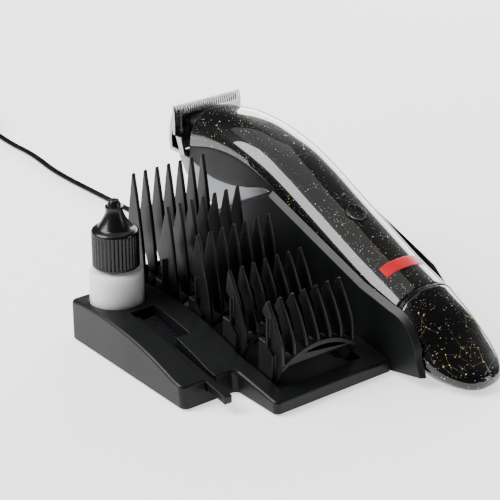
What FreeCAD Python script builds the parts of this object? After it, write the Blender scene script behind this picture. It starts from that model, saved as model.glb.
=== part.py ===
import FreeCAD, Part
import math
import os

Vector = FreeCAD.Vector

# A cordless hair clipper lying in its charging stand, with five guide combs, an oil bottle and
# a cleaning brush.  X runs across the blade, the clipper's tail points to -Y, Z is up, and the
# origin is under the middle of the stand and clipper, on the surface that they stand on.

doc = FreeCAD.newDocument("HairClipper")
sheet = doc.addObject("Spreadsheet::Sheet", "Sizes")

SIZES = [
    # overall
    ("gap", 0.4, "air between pieces that lift apart"),
    ("runFit", 0.04, "radial play of a turning shaft"),
    ("touch", 0.1, "air between pieces that are screwed together"),
    # stand
    ("blockWide", 25.2, "part with the bottle and brush"),
    ("blockLong", 77.4, ""),
    ("trayRear", 14.0, "how far the comb tray reaches behind the block"),
    ("trayFront", 103.0, "how far the comb tray reaches in front of the block's rear"),
    ("topRear", 15.0, "height of the top at the tray's rear"),
    ("topCrown", 19.2, "highest point of the top"),
    ("topFold", 9.8, "height where the curved top turns straight"),
    ("topFront", 5.8, "height at the front edge"),
    ("dockLeft", 82.8, "outer face of the near dock wall"),
    ("dockWall", 2.4, ""),
    ("dockClear", 0.2, "widest part of the clipper to the wall beside it"),
    ("dockRidge", 50.2, "highest point of the dock walls"),
    ("rimRise", 2.4, "rise of the dock's rim towards the clipper"),
    ("shellWall", 2.2, "moulded wall of the stand"),
    ("ceiling", 5.6, "underside of the block above the surface"),
    ("cornerOuter", 3.0, ""),
    ("cornerInner", 2.4, ""),
    ("rimRound", 1.3, "rounding of the stand's top edges"),
    ("floorLift", 0.8, "stand above the surface, on its feet"),
    ("footAcross", 9.0, ""),
    ("recessLeft", 32.6, "comb tray recess"),
    ("recessFloor", 5.0, ""),
    ("recessFront", 96.2, ""),
    # combs
    ("combWide", 39.8, ""),
    ("combPitch", 22.7, "one comb to the next"),
    ("combFirst", 86.9, "front comb, from the block's rear"),
    ("combClear", 0.5, "comb to the wall of the recess"),
    ("finThick", 1.5, ""),
    ("legDeep", 4.9, ""),
    ("legHigh", 17.7, ""),
    ("tabHigh", 9.6, ""),
    ("tabThick", 1.1, ""),
    ("hookHigh", 28.6, "back hook of each fin above the comb's foot"),
    # bottle and brush
    ("bottleAcross", 22.2, ""),
    ("bottleX", 14.6, ""),
    ("bottleY", 13.2, ""),
    ("bottleFloor", 11.6, ""),
    ("bottleShoulder", 20.0, "straight side of the bottle"),
    ("capAcross", 19.2, ""),
    ("capHigh", 15.2, ""),
    ("nozzleHigh", 11.4, ""),
    ("nozzleAcross", 4.4, ""),
    ("brushLeft", 11.3, "the brush lies on its side, its back to the left"),
    ("brushThick", 3.5, ""),
    ("brushHead", 23.2, "length of the part with the tufts"),
    ("brushDeep", 6.4, "height of the head as it lies"),
    ("gripDeep", 3.2, ""),
    ("tuftLong", 6.8, ""),
    ("brushReach", 12.1, "handle in front of the block"),
    # clipper
    ("clipperWide", 34.0, "widest part of the body"),
    ("bodyLong", 134.5, "head opening to the seam ring"),
    ("bodyFront", 34.0, "head opening, behind the block's rear"),
    ("bodyWall", 1.9, ""),
    ("seamGap", 0.25, "parting line between the shells"),
    ("ringLong", 1.7, ""),
    ("tailLong", 35.6, "from the ring to the tail's end"),
    ("buttonAcross", 9.2, ""),
    ("buttonHigh", 3.4, ""),
    ("buttonTravel", 0.9, ""),
    ("bladeWide", 36.8, ""),
    ("bladeTip", 70.2, "height of the blade's teeth"),
    ("bladeFace", 43.6, "skin side of the blade, behind the block's rear"),
    ("bladeThick", 1.6, ""),
    ("holderDeep", 3.6, "how far the blade's holder bulges"),
    ("toothLong", 2.4, ""),
    ("toothPitch", 1.2, ""),
    ("toothGap", 0.55, ""),
    ("motorAcross", 24.0, ""),
    ("motorLong", 32.0, ""),
    ("shaftAcross", 2.0, ""),
    ("shaftInside", 12.0, "length of the shaft in the motor"),
    ("eccentricAcross", 8.0, ""),
    ("eccentricThrow", 1.2, ""),
    ("batteryAcross", 18.0, ""),
    ("batteryLong", 50.0, ""),
    ("screwAcross", 2.2, ""),
    # cord
    ("cordAcross", 3.4, "width of the flat lead"),
    ("coilMiddle", 44.0, "across the middle of the coil's turns"),
    ("coilHigh", 12.4, ""),
    ("coilWide", 11.0, ""),
    ("tieThick", 0.9, ""),
    ("adapterWide", 30.0, ""),
    ("adapterLong", 42.0, ""),
    ("adapterHigh", 26.0, ""),
    ("prongAcross", 4.0, ""),
    ("prongLong", 19.0, ""),
    ("prongPitch", 19.0, ""),
]
for row, (alias, value, note) in enumerate(SIZES, start=1):
    sheet.set("A%d" % row, alias)
    sheet.set("B%d" % row, str(value))
    sheet.set("C%d" % row, note)
    sheet.setAlias("B%d" % row, alias)
doc.recompute()


def size(alias):
    return float(sheet.get(alias))


subParts = []
gap = size("gap")
wall = size("bodyWall")
seamGap = size("seamGap")
dockWide = size("clipperWide") + 2 * (size("dockClear") + size("dockWall"))
centreX = size("dockLeft") + dockWide / 2      # the clipper lies between the dock walls
bodyRear = size("bodyFront") - size("bodyLong")
ringRear = bodyRear - seamGap - size("ringLong")
tailFront = ringRear - seamGap
foremost = size("bladeFace") + gap / 4 + size("holderDeep")
middle = Vector(-(size("dockLeft") + dockWide) / 2, -(foremost + tailFront - size("tailLong")) / 2, 0)


def finish(label, thing):
    """Names a finished object and moves it from the stand's corner to the middle."""
    thing.Label = label
    thing.Placement = FreeCAD.Placement(middle.add(thing.Placement.Base), thing.Placement.Rotation)
    subParts.append(thing)
    return thing


def shaped(label, shape):
    """A sub-part whose free-form shape is worked out here."""
    thing = doc.addObject("Part::Feature", label)
    thing.Shape = shape
    return finish(label, thing)


def primitive(kind, name, at, turn=None, **bound):
    """A Part primitive with its sizes bound to the sheet."""
    thing = doc.addObject("Part::" + kind, name)
    for key, expression in bound.items():
        thing.setExpression(key, expression)
    thing.Placement = FreeCAD.Placement(at, turn or FreeCAD.Rotation())
    return thing


def joined(name, things):
    thing = doc.addObject("Part::MultiFuse", name)
    thing.Shapes = things
    return thing


def without(name, base, tools):
    thing = doc.addObject("Part::Cut", name)
    thing.Base = base
    thing.Tool = tools[0] if len(tools) == 1 else joined(name + "Tools", tools)
    return thing


def block(x0, x1, y0, y1, z0, z1):
    return Part.makeBox(x1 - x0, y1 - y0, z1 - z0, Vector(x0, y0, z0))


def sideFace(points, x):
    """A flat outline in the YZ plane; a triple in the list is a point that an arc passes through."""
    edges = []
    place = [Vector(x, p[0], p[1]) for p in points]
    count = len(points)
    i = 0
    while i < count:
        if len(points[(i + 1) % count]) == 3:
            edges.append(Part.Arc(place[i], place[(i + 1) % count], place[(i + 2) % count]).toShape())
            i += 2
        else:
            edges.append(Part.LineSegment(place[i], place[(i + 1) % count]).toShape())
            i += 1
    return Part.Face(Part.Wire(edges))


def sidePlate(points, x0, x1):
    return sideFace(points, x0).extrude(Vector(x1 - x0, 0, 0))


def rod(radius, length, at, along):
    return Part.makeCylinder(radius, length, at, along)


# ---- the clipper's body -------------------------------------------------------------------------
# Each station: share of the body's length behind the head opening, crown, seam, lower edge of the
# side band, belly, half width.
stations = [
    (0.000, 69.2, 53.5, 48.2, 26.0, 16.4),
    (0.106, 71.2, 57.4, 44.6, 22.5, 16.9),
    (0.213, 70.5, 59.0, 45.2, 20.5, 17.0),
    (0.309, 68.2, 57.9, 48.0, 19.0, 16.9),
    (0.406, 64.9, 54.3, 51.0, 17.0, 16.7),
    (0.503, 59.9, 48.9, 46.1, 14.5, 16.5),
    (0.619, 52.9, 41.5, 38.7, 11.5, 16.4),
    (0.735, 46.0, 34.3, 31.5, 8.6, 16.4),
    (0.851, 39.2, 27.4, 24.6, 5.4, 16.3),
    (1.000, 31.3, 19.4, 16.6, 2.0, 16.3),
]
# the lower shell starts with a chin in front of the head opening
chinReach = 10.0
chin = [(44.0, 60.0, 48.6, 35.0, 16.4), (40.5, 58.0, 48.4, 29.2, 16.4)]
# the tail: share of its length, crown, belly, half width
tail = [(0.0, 31.3, 2.0, 16.3), (0.25, 25.0, 0.7, 16.9), (0.50, 17.4, 0.5, 16.6), (0.72, 12.2, 0.5, 14.3),
        (0.88, 9.2, 0.6, 10.6), (0.97, 7.4, 1.5, 6.8), (1.0, 6.2, 3.0, 3.4)]
WIDEST = 34.0       # the width that these half widths belong to
ROUND = 2.5         # exponent of the sections, where 2 is an ellipse
STEPS = 8


def bodyAt(y):
    """Crown, seam, band edge, belly and half width at one place along the body."""
    share = (size("bodyFront") - y) / size("bodyLong")
    share = min(max(share, 0.0), 1.0)
    last = len(stations) - 1
    i = next(i for i in range(last) if share <= stations[i + 1][0] or i == last - 1)
    a, b = stations[i], stations[i + 1]
    before, after = stations[max(i - 1, 0)], stations[min(i + 2, last)]
    span = b[0] - a[0]
    k = (share - a[0]) / span
    values = []
    for j in range(1, 6):
        into = (b[j] - before[j]) / (b[0] - before[0]) * span
        out = (after[j] - a[j]) / (after[0] - a[0]) * span
        values.append((2 * k ** 3 - 3 * k ** 2 + 1) * a[j] + (k ** 3 - 2 * k ** 2 + k) * into
                      + (3 * k ** 2 - 2 * k ** 3) * b[j] + (k ** 3 - k ** 2) * out)
    values[-1] *= size("clipperWide") / WIDEST
    return values


def domePoint(seam, crown, half, angle, grow=0.0):
    x = (half + grow) * math.copysign(abs(math.cos(angle)) ** (2 / ROUND), math.cos(angle))
    z = seam + (crown - seam + grow) * math.sin(angle) ** (2 / 2.1)
    return x, z


def bowlPoint(seam, belly, half, angle, grow=0.0):
    x = (half + grow) * math.copysign(abs(math.cos(angle)) ** (2 / ROUND), math.cos(angle))
    z = seam - (seam - belly + grow) * math.sin(angle) ** (2 / ROUND)
    return x, z


def bowlAngle(seam, belly, level):
    return math.asin(min(1.0, ((seam - level) / (seam - belly)) ** (ROUND / 2)))


def curve(points, y):
    spline = Part.BSplineCurve()
    spline.interpolate([Vector(centreX + x, y, z) for x, z in points])
    return spline.toShape()


def strip(outer, inner, y):
    """A closed section of a shell: outer line, inner line and the two cut edges."""
    a = curve(outer, y)
    b = curve(inner[::-1], y)
    ends = [
        Part.makeLine(a.Vertexes[-1].Point, b.Vertexes[0].Point),
        Part.makeLine(b.Vertexes[-1].Point, a.Vertexes[0].Point),
    ]
    return Part.Wire([a, ends[0], b, ends[1]])


def spread(start, end):
    return [start + (end - start) * i / STEPS for i in range(STEPS + 1)]


def upperSection(y, low, high, start=0.0, end=math.pi, seam=0.0):
    crown, line, _, _, half = bodyAt(y)
    line = line + seam
    angles = spread(start, end)
    outer = [domePoint(line, crown, half, t, high) for t in angles]
    inner = [domePoint(line, crown, half, t, low) for t in angles]
    outer = [(x, max(z, line)) for x, z in outer]
    inner = [(x, max(z, line)) for x, z in inner]
    return strip(outer, inner, y)


SECTIONS = 18
alongBody = [size("bodyFront") - size("bodyLong") * i / SECTIONS for i in range(SECTIONS + 1)]


def behind(share):
    """The place at a share of the body's length behind the head opening."""
    return size("bodyFront") - share * size("bodyLong")


buttonY = behind(0.690)
labelRear = behind(0.921)
labelFront = behind(0.881)
labelAngles = (1.05, 2.15)


def slopeAt(y):
    """The direction along the crown towards the tail, and the outward normal."""
    step = 3.0
    rise = bodyAt(y - step)[0] - bodyAt(y + step)[0]
    along = Vector(0, -2 * step, rise).normalize()
    return along, Vector(0, along.z, -along.y)


alongButton, outButton = slopeAt(buttonY)
buttonTop = Vector(centreX, buttonY, bodyAt(buttonY)[0])

upper = Part.makeLoft([upperSection(y, -wall, 0.0, seam=seamGap) for y in alongBody], True, False)
hole = rod(size("buttonAcross") / 2 + size("gap"), 12, buttonTop - outButton * 6, outButton)
labelSeat = Part.makeLoft(
    [upperSection(y, -0.5, 1.5, labelAngles[0] - 0.03, labelAngles[1] + 0.03, seamGap)
     for y in (labelRear, labelFront)], True, True)
shaped("upper_shell", upper.cut(hole).cut(labelSeat))
shaped("badge", Part.makeLoft(
    [upperSection(y, -0.4, 0.25, *labelAngles, seamGap)
     for y in (labelRear + 0.15, labelFront - 0.15)], True, True))


def bandSection(y):
    crown, seam, band, belly, half = bodyAt(y)
    last = bowlAngle(seam, belly, band)
    angles = [last * i / 4 for i in range(5)]
    outer = [bowlPoint(seam, belly, half, t) for t in angles]
    inner = [bowlPoint(seam, belly, half, t, -wall) for t in angles]
    inner = [(x, o[1]) for (x, z), o in zip(inner, outer)]
    return strip(outer, inner, y)


band = Part.makeLoft([bandSection(y) for y in alongBody], True, False)
bands = [band, band.mirror(Vector(centreX, 0, 0), Vector(1, 0, 0))]
# the bands are the sides of the chassis, with a deck between them that carries the motor
deckY = (behind(0.112), behind(0.387))
deckHigh = 2.0
half = (size("clipperWide") / 2 - wall) - 0.2
deckLevel = 51.8
deck = block(centreX - half, centreX + half, deckY[1], deckY[0], deckLevel, deckLevel + deckHigh)
plateRear = size("bodyFront") - 2.6
plateFront = size("bodyFront") - 0.8
noseHalf = size("clipperWide") / 2 - 4.6
nose = block(centreX - noseHalf, centreX + noseHalf, plateRear, plateFront, 49.0, 60.5)
noseTop = block(centreX - noseHalf * 0.72, centreX + noseHalf * 0.72, plateRear, plateFront, 60.5, 63.8)
shaped("chassis", bands[0].fuse([bands[1], deck]))
nose = nose.fuse(noseTop).cut(block(centreX - 7, centreX + 7, 20, 40, 53.0, 66))
shaped("head_plate", nose.removeSplitter())


def bowlSection(y, seam, band, belly, half, low, high):
    start = bowlAngle(seam, belly, band - seamGap)
    angles = spread(start, math.pi - start)
    outer = [bowlPoint(seam, belly, half, t, high) for t in angles]
    inner = [bowlPoint(seam, belly, half, t, low) for t in angles]
    inner[0] = (inner[0][0], outer[0][1])
    inner[-1] = (inner[-1][0], outer[-1][1])
    inner = [(x, min(z, outer[0][1])) for x, z in inner]
    return strip(outer, inner, y)


def bowlFace(y, seam, band, belly, half, low):
    start = bowlAngle(seam, belly, band - seamGap)
    line = curve([bowlPoint(seam, belly, half, t, low) for t in spread(start, math.pi - start)], y)
    lid = Part.makeLine(line.Vertexes[-1].Point, line.Vertexes[0].Point)
    return Part.Wire([line, lid])


chinRows = [(size("bodyFront") + chinReach - (44.0 - c[0]),) + c[1:] for c in chin]
rows = chinRows + [(y,) + tuple(bodyAt(y)[1:]) for y in alongBody]
lower = Part.makeLoft([bowlSection(*row, -wall, 0.0) for row in rows], True, False)
front = Part.makeLoft([bowlFace(*row, -wall / 9) for row in rows[:2]], True, True)
front = front.common(block(0, 200, chinRows[0][0] - wall, chinRows[0][0] + 1, 0, 80))
contactY = behind(0.803)
contactX = 5.0
contactAcross = 4.0
contactLevel = bodyAt(contactY)[3]
pads = [rod(contactAcross / 2 + size("touch"), 8, Vector(centreX + side * contactX, contactY,
        contactLevel - 4), Vector(0, 0, 1)) for side in (-1, 1)]
shaped("lower_shell", lower.fuse(front).cut(pads[0]).cut(pads[1]).removeSplitter())
shaped("charge_contacts", Part.makeCompound([
    rod(contactAcross / 2, 2.2, Vector(centreX + side * contactX, contactY, contactLevel + 0.3),
        Vector(0, 0, 1)) for side in (-1, 1)]))


def hoop(y, crown, belly, half, grow):
    """A whole section, dome over bowl, as one closed line."""
    seam = belly + (crown - belly) * 0.55
    over = [domePoint(seam, crown, half, t, grow) for t in spread(0, math.pi)]
    under = [bowlPoint(seam, belly, half, t, grow) for t in spread(math.pi, 0)]
    over[0] = (half + grow, seam)
    over[-1] = (-half - grow, seam)
    under[0] = over[-1]
    under[-1] = over[0]
    return Part.Wire([curve(over, y), curve(under, y)])


crown, _, _, belly, half = bodyAt(bodyRear)
outside = Part.makeLoft([hoop(y, crown, belly, half, 0.35) for y in (ringRear, bodyRear - seamGap)],
                        True, True)
inside = Part.makeLoft([hoop(y, crown, belly, half, -wall) for y in (ringRear - 1, bodyRear + 1)],
                       True, True)
shaped("seam_ring", outside.cut(inside))

tailLong = size("tailLong")
tail = [(k, c, b, w * size("clipperWide") / WIDEST) for k, c, b, w in tail]
skin = Part.makeLoft([hoop(tailFront - k * tailLong, c, b, w, 0) for k, c, b, w in tail], True, False)
core = Part.makeLoft([hoop(tailFront - k * (tailLong - 2 * wall) + (0.5 if k == 0 else 0), c, b, w, -wall)
                      for k, c, b, w in tail[:5]], True, False)
shaped("tail_cap", skin.cut(core))

# ---- inside the clipper -------------------------------------------------------------------------
motorFront = Vector(centreX, size("bodyFront") - 20.0, 38.6)
motorTurn = FreeCAD.Rotation(Vector(1, 0, 0), 90)
can = primitive("Cylinder", "MotorCan", motorFront, motorTurn, Radius="Sizes.motorAcross / 2",
                Height="Sizes.motorLong")
bush = primitive("Cylinder", "MotorBush", motorFront + Vector(0, 1.6, 0), motorTurn,
                 Radius="Sizes.shaftAcross * 1.7", Height="1.6")
bore = primitive("Cylinder", "MotorBore", motorFront + Vector(0, 2, 0), motorTurn,
                 Radius="Sizes.shaftAcross / 2 + Sizes.runFit", Height="Sizes.shaftInside + 2")
finish("motor", without("Motor", joined("MotorBody", [can, bush]), [bore]))

shaft = primitive("Cylinder", "ShaftRod", motorFront + Vector(0, 6.2, 0), motorTurn,
                  Radius="Sizes.shaftAcross / 2", Height="Sizes.shaftInside + 4.2")
disc = primitive("Cylinder", "ShaftDisc", motorFront + Vector(0, 6.2, 0), motorTurn,
                 Radius="Sizes.eccentricAcross / 2", Height="3.4")
pinAt = motorFront + Vector(0, 10.4, size("eccentricThrow"))
pin = primitive("Cylinder", "ShaftPin", pinAt, motorTurn, Radius="Sizes.shaftAcross / 2", Height="5")
finish("eccentric", joined("Eccentric", [shaft, disc, pin]))

# the yoke turns the pin's circle into the blade's stroke
bladeY = size("bladeFace")
yokeY = motorFront.y + 7.4
orbit = size("eccentricThrow") + size("shaftAcross") / 2 + size("gap")
yokeHalf = orbit + size("eccentricThrow") + 1.6
movingRear = bladeY - 2 * size("bladeThick") - size("gap") - 1.6
yoke = block(centreX - yokeHalf, centreX + yokeHalf, yokeY, yokeY + 2.2, motorFront.z - orbit - 2,
             motorFront.z + orbit + 1.5)
yoke = yoke.cut(block(centreX - orbit - size("eccentricThrow"), centreX + orbit + size("eccentricThrow"),
                      yokeY - 1, yokeY + 5, motorFront.z - orbit, motorFront.z + orbit))
arm = sidePlate([(yokeY, motorFront.z + orbit + 1.2), (yokeY + 2.2, motorFront.z + orbit + 1.2),
                 (yokeY + 2.2, 54.4), (movingRear - 0.1, 59.4), (movingRear - 0.1, 63.6),
                 (movingRear - 2.0, 63.6), (movingRear - 2.0, 60.4), (yokeY, 55.4)],
                centreX - 2.6, centreX + 2.6)
shaped("drive_yoke", yoke.fuse(arm).removeSplitter())

# ---- blades -------------------------------------------------------------------------------------
tip = size("bladeTip")
tooth = size("toothLong")


def toothed(y, low, high, width, length):
    """A blade: a bevelled plate with its teeth along the top edge."""
    thick = size("bladeThick")
    x0 = centreX - width / 2
    plate = sidePlate([(y, low), (y, high), (y - thick * 0.45, high), (y - thick, high - length - 1.0),
                       (y - thick, low)], x0, x0 + width)
    count = int((width - size("toothPitch")) / size("toothPitch"))
    start = centreX - (count - 1) * size("toothPitch") / 2
    slots = [block(start + i * size("toothPitch") - size("toothGap") / 2,
                   start + i * size("toothPitch") + size("toothGap") / 2,
                   y - thick - 1, y + 1, high - length, high + 1) for i in range(count)]
    return plate.cut(Part.makeCompound(slots))


movingY = bladeY - size("bladeThick") - size("gap")
screwX = size("bladeWide") / 2 - 5.0
screwLevel = 58.7
screwHoles = [rod(size("screwAcross") / 2 + 0.05, 12, Vector(centreX + side * screwX, bladeY - 8, screwLevel),
                  Vector(0, 1, 0)) for side in (-1, 1)]
fixed = toothed(bladeY, 57.0, tip, size("bladeWide"), tooth)
shaped("fixed_blade", fixed.cut(screwHoles[0]).cut(screwHoles[1]))
shaped("moving_blade", toothed(movingY, 60.6, tip - 0.7, size("bladeWide") - 4.6, tooth))
screws = []
for side in (-1, 1):
    at = Vector(centreX + side * screwX, bladeY - size("bladeThick"), screwLevel)
    head = rod(size("screwAcross") * 0.86, 1.0, at, Vector(0, -1, 0))
    cross = block(at.x - 1.3, at.x + 1.3, at.y - 1.2, at.y - 0.5, at.z - 0.25, at.z + 0.25)
    shank = rod(size("screwAcross") / 2, size("bladeThick") + 1.2, at, Vector(0, 1, 0))
    screws.append(head.fuse(shank).cut(cross))
shaped("blade_screws", Part.makeCompound(screws))

holderY = bladeY + 0.1
bulge = size("holderDeep")
outerStrip = [(holderY, 66.2), (holderY + 1.2, 66.2), (holderY + bulge, 56.5, 0), (holderY + bulge - 0.6, 48.8),
              (holderY + bulge - 2.0, 48.8), (holderY + bulge - 1.4, 56.5, 0)]
halfHolder = size("bladeWide") / 2 - 0.6
sideThick = 1.4
cheek = [(holderY, 66.0), (holderY + 1.2, 66.0), (holderY + bulge, 56.5, 0), (holderY + bulge - 0.6, 48.9),
         (holderY - 7.8, 48.9), (holderY - 4.2, 60.0)]
window = [(holderY + 0.5, 60.4), (holderY + 1.9, 55.8), (holderY + 1.5, 50.6), (holderY - 3.8, 50.6)]
holder = sidePlate(outerStrip, centreX - halfHolder, centreX + halfHolder)
for x0 in (centreX - halfHolder, centreX + halfHolder - sideThick):
    side = sidePlate(cheek, x0, x0 + sideThick)
    side = side.cut(sidePlate(window, x0 - 1, x0 + sideThick + 1))
    side = side.cut(block(0, 200, movingRear - 3, bladeY + 0.1, 56.6, 80))
    holder = holder.fuse(side)
foot = block(centreX - halfHolder, centreX + halfHolder, holderY - 0.5, holderY + 2.6, 48.9, 50.3)
holder = holder.fuse(foot).removeSplitter()
shaped("blade_holder", holder.cut(screwHoles[0]).cut(screwHoles[1]))

# ---- battery, board, button ---------------------------------------------------------------------
alongBattery = slopeAt(behind(0.624))[0]
batteryFront = Vector(centreX, behind(0.517), 39.0)
batteryTurn = FreeCAD.Rotation(Vector(0, 0, 1), alongBattery)
cell = primitive("Cylinder", "BatteryCell", batteryFront, batteryTurn,
                 Radius="Sizes.batteryAcross / 2", Height="Sizes.batteryLong")
nub = primitive("Cylinder", "BatteryNub", batteryFront - alongBattery * 1.2, batteryTurn,
                Radius="Sizes.batteryAcross / 6", Height="1.4")
finish("battery", joined("Battery", [cell, nub]))

boardThick = 1.2
boardAt = (buttonTop - outButton * (wall + size("buttonHigh") + 1.5) - alongButton * 22
           + Vector(-8, 0, 0))
boardTurn = FreeCAD.Rotation(Vector(1, 0, 0), alongButton, -outButton, "XYZ")
board = primitive("Box", "Board", boardAt, boardTurn, Length="16", Width="44", Height="1.2")
finish("circuit_board", board)
switchAt = buttonTop - outButton * (wall + size("buttonHigh") + 1.5 - 0.05)
switchTurn = FreeCAD.Rotation(Vector(0, 0, 1), outButton)
switch = primitive("Cylinder", "Switch", switchAt, switchTurn, Radius="2.6", Height="1.5")
finish("button_switch", switch)
buttonAt = buttonTop + outButton * (0.4 - size("buttonHigh"))
button = primitive("Cylinder", "ButtonCap", buttonAt, switchTurn, Radius="Sizes.buttonAcross / 2",
                   Height="Sizes.buttonHigh")
finish("power_button", button)

# ---- stand --------------------------------------------------------------------------------------
lift = size("floorLift")
fold = -size("blockLong")
shell = size("shellWall")
dockLeft = size("dockLeft")
dockRight = dockLeft + dockWide
trayRear = size("trayRear")
trayRight = dockLeft - size("touch")
# both tops are one surface: it climbs from the rear, turns over and falls straight to the front
topLine = [(trayRear + 5, -1), (trayRear + 5, size("topRear")), (trayRear, size("topRear")),
           (-22.0, size("topCrown"), 0), (fold + 6.0, size("topFold") + 1.1),
           (-size("trayFront") - 1, size("topFront")), (-size("trayFront") - 1, -1)]


def planOutline(z, blockFront, trayFront):
    """The stand from above at one height, with its upright edges rounded."""
    step = size("blockWide")
    outer = size("cornerOuter")
    inner = size("cornerInner")
    corners = [(0, 0, outer), (0, blockFront, outer), (step, blockFront, inner), (step, trayFront, inner),
               (trayRight, trayFront, 0), (trayRight, trayRear, 0), (step, trayRear, inner), (step, 0, inner)]
    runs = []
    for i, (x, y, radius) in enumerate(corners):
        here = Vector(x, y, z)
        before = Vector(corners[i - 1][0], corners[i - 1][1], z)
        after = Vector(corners[(i + 1) % len(corners)][0], corners[(i + 1) % len(corners)][1], z)
        into = (before - here).normalize() * radius
        out = (after - here).normalize() * radius
        half = here + (into + out) * (1 - math.sqrt(0.5))
        runs.append((here + into, half, here + out))
    edges = []
    for i, (start, half, end) in enumerate(runs):
        if start != end:
            edges.append(Part.Arc(start, half, end).toShape())
        edges.append(Part.LineSegment(end, runs[(i + 1) % len(runs)][0]).toShape())
    return Part.Wire(edges)


recessRight = size("recessLeft") + size("combWide") + 2 * size("combClear")
draft = 1.6         # how far the fronts lean out at the foot
top = Part.makeLoft([planOutline(lift, fold - draft, -size("trayFront") - draft / 4),
                     planOutline(lift + 30, fold + 2 * draft, -size("trayFront") + draft / 2)], True, True)
top = top.common(sidePlate(topLine, -5, trayRight + 5))
topFaces = [face for face in top.Faces if face.normalAt(*[(a + b) / 2 for a, b in zip(
           face.ParameterRange[::2], face.ParameterRange[1::2])]).z > 0.8]
rim = [e for face in topFaces for e in face.Edges if e.BoundBox.XMin < trayRight - 1
       and sum(e.isSame(other) for near in topFaces for other in near.Edges) == 1]
top = top.makeFillet(size("rimRound"), rim)
recess = block(size("recessLeft"), recessRight, -size("recessFront"), size("trayRear") - 2.6,
               size("recessFloor"), 40)
hollow = block(shell, size("recessLeft") - shell, fold + shell, -shell, -1, size("ceiling"))
underTray = block(size("recessLeft") - shell - 1, trayRight - shell, -size("trayFront") + shell,
                  size("trayRear") - shell, -1, size("recessFloor") - shell)
bottleCentre = Vector(size("bottleX"), -size("bottleY"), size("bottleFloor"))
well = rod(size("bottleAcross") / 2 + size("gap"), 20, bottleCentre, Vector(0, 0, 1))
brushRear = -28.4
brushDrop = math.tan(math.radians(8.8))
brushLevel = 16.8


def brushZ(y):
    return brushLevel + (y - brushRear) * brushDrop


def slanted(x0, x1, yRear, yFront, down, up):
    """A bar that follows the slope of the brush's upper side, from down below it to up above it."""
    return sidePlate([(yRear, brushZ(yRear) - down), (yRear, brushZ(yRear) + up),
                      (yFront, brushZ(yFront) + up), (yFront, brushZ(yFront) - down)], x0, x1)


brushLeft = size("brushLeft")
brushRight = brushLeft + size("brushThick")
headFront = brushRear - size("brushHead")
pocket = slanted(brushLeft - gap, brushRight + size("tuftLong") + 2 * gap, brushRear + gap, headFront - gap,
                 size("brushDeep") + gap, 20)
groove = slanted(brushLeft - gap, brushRight + 3 * gap, headFront, fold - 8, size("gripDeep") + gap, 20)
slots = [block(recessRight - 5.0, recessRight - 1.0, -88.0 + i * 2.0, -87.0 + i * 2.0,
               size("recessFloor") - 0.8, 9) for i in range(5)]
for tool in [recess, hollow, underTray, well, pocket, groove] + slots:
    top = top.cut(tool)
# three bosses take the screws of the base plate
plateThick = 1.2
screwSpots = [(6.0, fold + 7.4), (26.6, fold + 7.4), (6.0, -6.0)]
for x, y in screwSpots:
    at = Vector(x, y, lift + plateThick + size("touch"))
    top = top.fuse(rod(size("screwAcross") * 1.3, size("ceiling") - at.z + 0.2, at, Vector(0, 0, 1)))
    top = top.cut(rod(size("screwAcross") / 2 + size("touch") / 2, size("ceiling") - at.z, at, Vector(0, 0, 1)))
shaped("stand_top", top.removeSplitter())


FINS = 7
webEnd = 12.0       # underside of the web beside the legs
webRise = 6.0


def comb(number):
    """A guide comb standing on its clip legs: seven fins on an arched web between two end legs."""
    foot = size("recessFloor") + gap
    y0 = -size("combFirst") + (5 - number) * size("combPitch")
    tipShift, high = combTips[number - 1]
    hook = foot + size("hookHigh")
    left = size("recessLeft") + size("combClear")
    right = left + size("combWide")
    pitch = (size("combWide") - 4.6) / (FINS - 1)
    thick = size("finThick")
    tipY = y0 + tipShift
    back = [(tipY, high), (tipY + 0.8, high - 0.4), (y0 + 4.9, hook), (y0 + 2.4, hook - 2.6)]
    front = [(y0 - 7.6, 22.0), ((tipY + y0 - 7.6) / 2 - 0.7, (high + 22.0) / 2, 0)]
    leg = [(y0 - 0.3, 25.0, 0), (y0 - 0.6, foot + 1.2), (y0 - 1.6, foot + 0.2), (y0 - 4.6, foot + 0.2),
           (y0 - 7.2, foot + 5, 0), (y0 - 8.0, 15.5)]
    pieces = []
    for i in range(FINS):
        x = left + 1.5 + i * pitch
        share = 2 * i / (FINS - 1) - 1
        foothold = webEnd + 1.2 + webRise * (1 - share ** 2)
        stem = [(y0 - 0.5, 24.0, 0), (y0 - 3.0, foothold), (y0 - 7.9, foothold)]
        outline = back + (leg if i in (0, FINS - 1) else stem) + front
        pieces.append(sidePlate(outline, x, x + thick))
    # the web arches from leg to leg
    sides = (left + 1.7, right - 1.7)
    middleOfComb = (left + right) / 2
    low, up = webEnd, webEnd + 2.4
    webY = y0 - 2.9
    under = Part.Arc(Vector(sides[0], webY, low), Vector(middleOfComb, webY, low + webRise),
                     Vector(sides[1], webY, low)).toShape()
    over = Part.Arc(Vector(sides[1], webY, up), Vector(middleOfComb, webY, up + webRise),
                    Vector(sides[0], webY, up)).toShape()
    ends = [Part.makeLine(Vector(sides[1], webY, low), Vector(sides[1], webY, up)),
            Part.makeLine(Vector(sides[0], webY, up), Vector(sides[0], webY, low))]
    web = Part.Face(Part.Wire([under, ends[0], over, ends[1]]))
    pieces.append(web.extrude(Vector(0, -5.1, 0)))
    for x0, x1 in ((left, left + 2.2), (right - 2.2, right)):
        top = foot + size("legHigh")
        post = [(y0, foot), (y0 + size("legDeep"), foot), (y0 + size("legDeep"), top),
                (y0 + size("tabThick") - 0.4, top - 0.5), (y0 + size("tabThick") - 0.4, top + size("tabHigh")),
                (y0 - 0.4, top + size("tabHigh")), (y0 - 0.4, top - 1.6), (y0 - 3.8, top - 4.8),
                (y0 - 3.8, foot + 2), (y0 - 2.4, foot)]
        pieces.append(sidePlate(post, x0, x1))
    return pieces[0].fuse(pieces[1:])


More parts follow.
